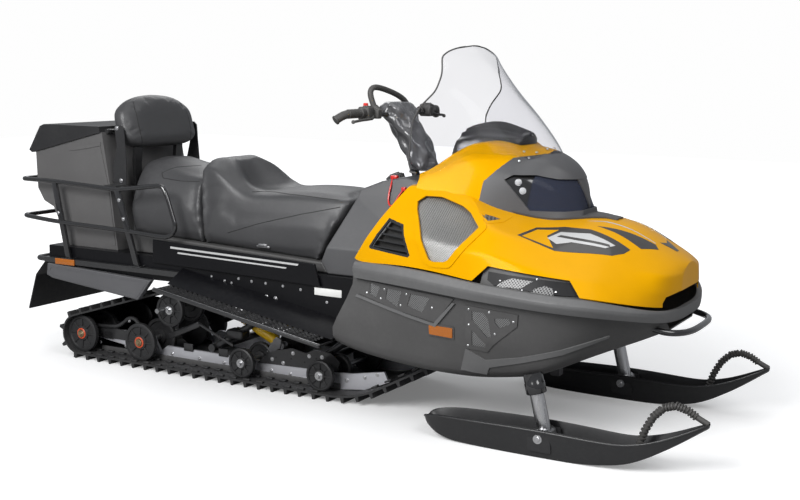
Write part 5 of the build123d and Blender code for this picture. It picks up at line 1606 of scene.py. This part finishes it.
bolts("railBolts", [(x, -197.5, z) for x, z in (
    (-1300, 66), (-1140, 68), (-860, 66), (-700, 64), (-560, 64), (-300, 62), (-200, 60), (-90, 60), (90, 72),
    (180, 98), (240, 118))], radius=6)
bolts("plateBolts", [(x, -204.5, z) for x, z in (
    (-290, 118), (-180, 158), (-96, 156), (-30, 160), (-232, 108), (-1110, 196), (-1020, 148), (-828, 170),
    (-700, 222))], radius=6)
# flat near-black discs on the rail plates: painted shade standing for their holes
bolts("plateHoleShades", [(x, -203, z) for x, z in ((-270, 128), (-190, 132), (-120, 126), (-60, 150), (-20, 128))],
      radius=9, high=1.2, material=shadeAndSeamBlack)
sliders = [boxAlong((-1290, y, 42), (60, y, 42), 8, 26, 2) for y in (-199, 199)]
addPiece("sliderStrips", joined(sliders), "chassis", darkPlastic)


shockFacts = {"y": 110, "top": (-520, 262), "foot": (-318, 168), "turns": 5, "coilRadius": 22, "wire": 3.2}


def makeShocks(facts=shockFacts):
    # a gas body with its sleeve, rod, eyes and coil, leaning forwards to the rail
    bodies, metals, coils = [], [], []
    (topX, topZ), (footX, footZ) = facts["top"], facts["foot"]
    along = Vector((footX - topX, 0, footZ - topZ)).normalized()
    upward, across = along.cross(Vector((0, 1, 0))).normalized(), Vector((0, 1, 0))
    gasBody = [(0, 0), (21, 0), (24, 4), (24, 122), (21, 128), (0, 128)]
    foot = [(-352, 118), (-300, 150), (-292, 186), (-318, 200), (-344, 176), (-372, 126)]
    for side in (-1, 1):
        top, end = (Vector((x, side * facts["y"], z)) for x, z in (facts["top"], facts["foot"]))
        bodies.append(turned(gasBody, top.lerp(end, 0.34), along, 28))
        metals.append(turned([(0, -60), (8, -60), (8, 60), (0, 60)], top.lerp(end, 0.12), along, 16))
        metals.append(turned([(0, 0), (13, 0), (13, 26), (0, 26)], top.lerp(end, 0.94), along, 20))
        for share in (-0.08, 1.1):
            metals.append(turned(drum(17, 16, 2, 4), top.lerp(end, share), across, 24))
        metals.append(prism(foot, "y", *sorted((side * 132, side * 127))))
        coil = []
        for index in range(60):
            angle = index / 59 * 2 * math.pi * facts["turns"]
            centre = top + along * (index / 59 * 66 - 8)
            coil.append(centre + upward * math.cos(angle) * facts["coilRadius"]
                        + across * math.sin(angle) * facts["coilRadius"])
        coils.append(tube(coil, facts["wire"], 2))
    return joined(bodies), joined(metals), joined(coils)


shockBody, shockMetal, shockCoil = makeShocks()
rebuilt("shockBodies", shockBody, "shocks", springYellow)
addPiece("shockFittings", shockMetal, "chassis", castMetal)
addPiece("shockCoils", shockCoil, "chassis", springYellow)


lugShape = {"pitch": 71.1, "half": 17, "flat": 19, "ramp": 5, "slope": 28}


def makeInnerLugs(facts=lugShape):
    # drive lugs on the belt's inner face, along the ground run and up the ramp
    lugs = []
    half, pitch = facts["half"], facts["pitch"]
    for index in range(facts["flat"]):
        x = -1290 + index * pitch
        for y, wide in ((-216, 10), (216, 10), (-289, 8), (289, 8)):
            lugs.append(block((x - half, y - wide, 29.5), (x + half, y + wide, 39), 3))
    slope = math.radians(facts["slope"])
    turn = Matrix.Rotation(-slope, 4, "Y")
    for index in range(facts["ramp"]):
        along = 230 + index * pitch
        x, z = 60 + along * math.cos(slope) + 20, 30 + (along - 122) * math.sin(slope) + 10
        for y in (-289, 289):
            lugs.append(block((x - half, y - 8, z), (x + half, y + 8, z + 9), 3, turn=turn))
    return joined(lugs)


addPiece("innerLugs", makeInnerLugs(), "chassis", trackRubber)


engine = {"rear": 800, "front": 1120, "wide": 210, "low": 340, "high": 640, "fins": 9, "blades": 12}


def makeEngine(facts=engine):
    # crankcase, two finned cylinders, fan shroud, exhaust can and belt guard, on its four mounts
    rear, front, wide, low, high = (facts[key] for key in ("rear", "front", "wide", "low", "high"))
    across, upright = (0, 1, 0), (0, 0, 1)
    parts = [block((rear, -wide, low), (front - 60, wide, low + 120), 14),
             block((rear + 20, -wide + 30, low + 118), (front - 90, 96, low + 150), 8)]
    for y in (-92, 42):
        for index in range(facts["fins"]):
            z = low + 150 + index * 12
            parts.append(block((rear + 34, y - 56, z), (front - 108, y + 56, z + 5), 1.5))
        parts.append(block((rear + 48, y - 42, low + 145), (front - 122, y + 42, high - 34), 5))
        parts.append(block((rear + 44, y - 48, high - 40), (front - 118, y + 48, high - 14), 6))
        plug = [(0, 14), (9, 14), (9, 4), (16, 4), (16, 0), (0, 0)]
        parts.append(turned(plug, ((rear + front) / 2 - 40, y, high - 14), upright, 12))
    shroud = [(0, 0), (70, 0), (82, 8), (86, 24), (86, 70), (80, 76), (0, 76)]
    parts.append(turned(shroud, (rear + 130, wide - 80, low + 190), across, 36))
    hub = Vector((rear + 130, wide - 6, low + 190))
    for spoke in directions(facts["blades"]):
        parts.append(boxAlong(hub + spoke * 22, hub + spoke * 76, 5, 5, 1, up=across))
    exhaust = [(100, -92, 210), (50, -92, 200), (30, -60, 120), (34, 60, 90), (34, 150, 84)]
    parts.append(tube([(front - back, y, low + z) for back, y, z in exhaust], 22))
    parts.append(turned(drum(44, 90, 10, 20), (front - 44, 40, low + 60), across, 28))
    guard = roundCorners([(rear + 6, low + 20), (rear + 6, low + 110), (front - 80, low + 150),
                          (front - 40, low + 120), (front - 40, low + 20)], 24)
    parts.append(prism(guard, "y", -wide - 4, -wide + 2))
    for x in (rear + 10, front - 110):
        for y in (-wide + 10, wide - 50):
            parts.append(block((x, y, 225), (x + 40, y + 40, low + 4), 3))
    return joined(parts)


rebuilt("engineBlock", makeEngine(), "engine", engineMetal, 35)
print("suspension done")

# skis, legs and front loop
skiRows = [  # x, bottom z, bottom half-width, rim half-width, rim z
    (614, 58, 14, 26, 76), (624, 48, 28, 42, 84), (660, 27, 42, 58, 92), (723, 8, 52, 68, 97),
    (820, 2, 56, 73, 100), (960, 0, 58, 75, 103), (1100, 0, 58, 75, 104), (1240, 1, 57, 74, 101),
    (1350, 12, 53, 70, 99), (1440, 32, 47, 63, 106), (1540, 82, 37, 52, 134), (1630, 142, 25, 36, 174),
    (1680, 178, 14, 22, 198), (1696, 190, 8, 13, 205)]


def makeSki(side):
    # a boat-like shell: flat run, keel, flared sides with a rolled rim, hollow inside
    sections = []
    for x, z, wide, rim, top in skiRows:
        rise = top - z
        half = [(0, z), (wide * 0.25, z), (wide * 0.3, z + min(5, wide * 0.08)), (wide, z + 5), (wide + 4, z + 10),
                (rim - 2, z + rise * 0.8), (rim + 2, top - 5), (rim + 1, top), (rim - 6, top), (rim - 8, top - 6),
                (max(wide - 5, 2), z + min(17, rise * 0.6)), (max(wide - 16, 1), z + min(12, rise * 0.5))]
        right = [spot(x, side * skiY - y, v) for y, v in half]
        sections.append(right + [spot(x, side * skiY + y, v) for y, v in reversed(half[1:])])
    bm, rings, crease = extrudeSections(sections, closed=True, cap=True)
    creaseColumns(bm, rings, crease, dict.fromkeys((3, 7, 8, 15, 16, 20), 0.55))
    return fitSmooth(shapeOf("skiShell", fixNormals(bm)), 2, 3)


def makeSkiParts(side):
    # the tube loop with its ribs, the leg with its bolt, and the bosses that hold the bolt
    y = side * skiY
    across = (0, 1, 0)
    path = [Vector((x, y, z)) for x, z in (
        (1440, 40), (1456, 92), (1472, 146), (1500, 200), (1536, 238), (1578, 252), (1618, 243), (1656, 220),
        (1694, 203))]
    loop = [tube(path, 10.5, 5)]
    for index in range(24):
        t = index / 23 * 5.8 + 1
        near = int(t)
        start, end = path[near], path[near + 1]
        rib = [(9, -5), (15, -2.5), (15, 2.5), (9, 5)]
        loop.append(turned(rib, start.lerp(end, t - near), end - start, 16))
    angles = [index / 12 * math.pi for index in range(24)]
    rings = [[spot(legX - (z - 70) * legLean + math.cos(angle) * 28, y + math.sin(angle) * 24, z) for angle in angles]
             for z in (66, 110, 286)]
    leg = fixNormals(extrudeSections(rings, closed=True, cap=True)[0])
    metal = [leg, turned(drum(30, 43, 4, 5), (legX, y, 70), across)]
    nut = [(0, 79), (8, 79), (9, 78), (9, 74), (17, 74), (17, 70), (0, 70)]
    bolt = [turned(nut, (legX, y, 72), (0, out, 0), 24) for out in (-1, 1)]
    outer = roundCorners([(1062, 26), (1058, 96), (1078, 108), (1124, 108), (1150, 60), (1152, 24)], 10)
    inner = [(1046, 6), (1060, 90), (1140, 90), (1156, 6)]
    bosses = [prism(outline, "y", *sorted((y + out * low, y + out * high)))
              for outline, low, high in ((outer, 64, 72), (inner, 44, 50)) for out in (-1, 1)]
    return joined(loop), joined(metal), joined(bolt), joined(bosses)


for word, side in (("left", 1), ("right", -1)):
    body, leg = "ski_" + word, "ski_leg_" + word
    rebuilt(word + "Ski", makeSki(side), body, skiPlastic, 40, body=body)
    loopMesh, legMesh, boltMesh, bossMesh = makeSkiParts(side)
    addPiece(word + "SkiLoop", loopMesh, body, gripRubber)
    rebuilt(word + "SkiLeg", legMesh, leg, legAlloy, body=body)
    addPiece(word + "SkiBolt", boltMesh, body, screwMetal)
    addPiece(word + "SkiBosses", bossMesh, body, skiPlastic)
collar = [(30, 156), (36, 156), (38, 159), (38, 196), (36, 199), (36, 233), (0, 233)]
collars = [turned(collar, (legX, side * skiY, 70), (-legLean, 0, 1), 36) for side in (-1, 1)]
rebuilt("legCollars", joined(collars), "leg_collars", glossBlack, 40)
frontPath = [(1392, 228, 466), (1440, 222, 452), (1486, 200, 447), (1516, 160, 446), (1530, 110, 446),
             (1534, 50, 446), (1534, 0, 446)]
loopPath = [(x, -y, z) for x, y, z in frontPath] + frontPath[-2::-1]
rebuilt("frontLoop", tube(loopPath, 12, 5), "front_loop", glossBlack)
print("skis and legs done")


# studio: plain pale floor, soft lights and the camera

studio = {
    "floor": {"half": 14, "paint": (0.80, 0.80, 0.80), "dull": (0.34, 0.34, 0.34, 1), "near": 0.8, "far": 5.0,
              "glowNear": 0.17, "glow": 0.92},
    "sky": {"light": (0.92, 0.95, 1.0, 1), "strength": 0.36, "seen": 0.99},
    "camera": {"at": (2.7005, -4.4018, 1.4044), "yaw": 29.29, "pitch": 8.836, "roll": 0.641, "lens": 54},
    "lights": {
        "keyLight": {"at": (-0.4, -5.0, 3.6), "aim": (0.2, 0, 0.5), "size": 3.0, "power": 350},
        "fillLight": {"at": (4.6, -2.6, 4.2), "aim": (0.9, 0, 0.6), "size": 3.0, "power": 115},
        "rimLight": {"at": (-3.0, 3.8, 4.0), "aim": (0, 0, 0.6), "size": 3.0, "power": 45},
        "topLight": {"at": (0.6, 0.2, 5.4), "aim": (0.2, 0, 0.5), "size": 4.0, "power": 40}}}


def seenByEye(tree):
    # 1 for what the camera sees, straight or through the windshield, and 0 for light that falls on the machine
    rays = node(tree, "ShaderNodeLightPath", {}, {}).outputs
    straight = mathNode(tree, "MAXIMUM", rays["Is Camera Ray"], rays["Is Transmission Ray"])
    bounces = plus(tree, rays["Diffuse Depth"], rays["Glossy Depth"])
    return times(tree, straight, mathNode(tree, "LESS_THAN", bounces, 0.5))


def choose(tree, unseen, seen, output):
    # one shader for the light that falls on the machine, another for what the camera sees
    choice = node(tree, "ShaderNodeMixShader", {}, {0: seenByEye(tree), 1: unseen.outputs[0], 2: seen.outputs[0]})
    tree.links.new(choice.outputs[0], tree.nodes[output].inputs["Surface"])


def makeFloorPaint(facts=studio["floor"]):
    # pale paint that glows a little far away, so that the floor and the background meet softly
    mat = makeMaterial("studioFloorPaint", facts["paint"], 0.75, bump=0.02, dust=0.02, drift=0.02)
    tree = mat.node_tree
    shader = tree.nodes["Principled BSDF"]
    where = firstOf(tree, "ShaderNodeTexCoord").outputs["Object"]
    far = node(tree, "ShaderNodeVectorMath", {"operation": "LENGTH"}, {0: where}).outputs["Value"]
    glow = mapRange(tree, far, facts["near"], facts["far"], facts["glowNear"], 1.0)
    fill(tree, shader.inputs, {
        "Emission Color": mixColors(tree, glow, (0, 0, 0, 1), (1, 1, 1, 1)), "Emission Strength": facts["glow"]})
    dull = node(tree, "ShaderNodeBsdfDiffuse", {}, {"Color": facts["dull"]})  # less light thrown back up
    choose(tree, dull, shader, "Material Output")
    return mat


def makeStudio():
    bm = bmesh.new()
    bmesh.ops.create_grid(bm, x_segments=2, y_segments=2, size=studio["floor"]["half"])
    floor = shapeOf("studioFloor", bm)
    floor.data.materials.append(makeFloorPaint())
    for name, facts in studio["lights"].items():
        data = bpy.data.lights.new(name, "AREA")
        data.shape = "DISK"
        data.size = facts["size"]
        data.energy = facts["power"]
        lamp = linkObject(name, data)
        lamp.location = facts["at"]
        aim = Vector(facts["aim"]) - lamp.location
        lamp.rotation_euler = aim.to_track_quat("-Z", "Y").to_euler()
    sky = studio["sky"]
    world = bpy.data.worlds.new("studioSky")
    world.use_nodes = True
    tree = world.node_tree
    soft = tree.nodes["Background"]
    fill(tree, soft.inputs, {"Color": sky["light"], "Strength": sky["strength"]})
    pale = node(tree, "ShaderNodeBackground", {}, {"Color": (1, 1, 1, 1), "Strength": sky["seen"]})
    choose(tree, soft, pale, "World Output")
    scene.world = world
    scene.view_settings.view_transform = "Standard"


def makeCamera(facts=studio["camera"]):
    yaw, pitch, roll = (math.radians(facts[key]) for key in ("yaw", "pitch", "roll"))
    look = Vector((-math.sin(yaw) * math.cos(pitch), math.cos(yaw) * math.cos(pitch), -math.sin(pitch)))
    right = look.cross(Vector((0, 0, 1))).normalized()
    up = right.cross(look)
    right, up = math.cos(roll) * right + math.sin(roll) * up, math.cos(roll) * up - math.sin(roll) * right
    data = bpy.data.cameras.new("studioCamera")
    data.sensor_width = 36
    data.lens = facts["lens"]
    camera = linkObject("studioCamera", data)
    turn = Matrix((right, up, -look)).transposed().to_4x4()
    camera.matrix_world = Matrix.Translation(facts["at"]) @ turn
    scene.camera = camera


makeStudio()
makeCamera()
print("studio done")
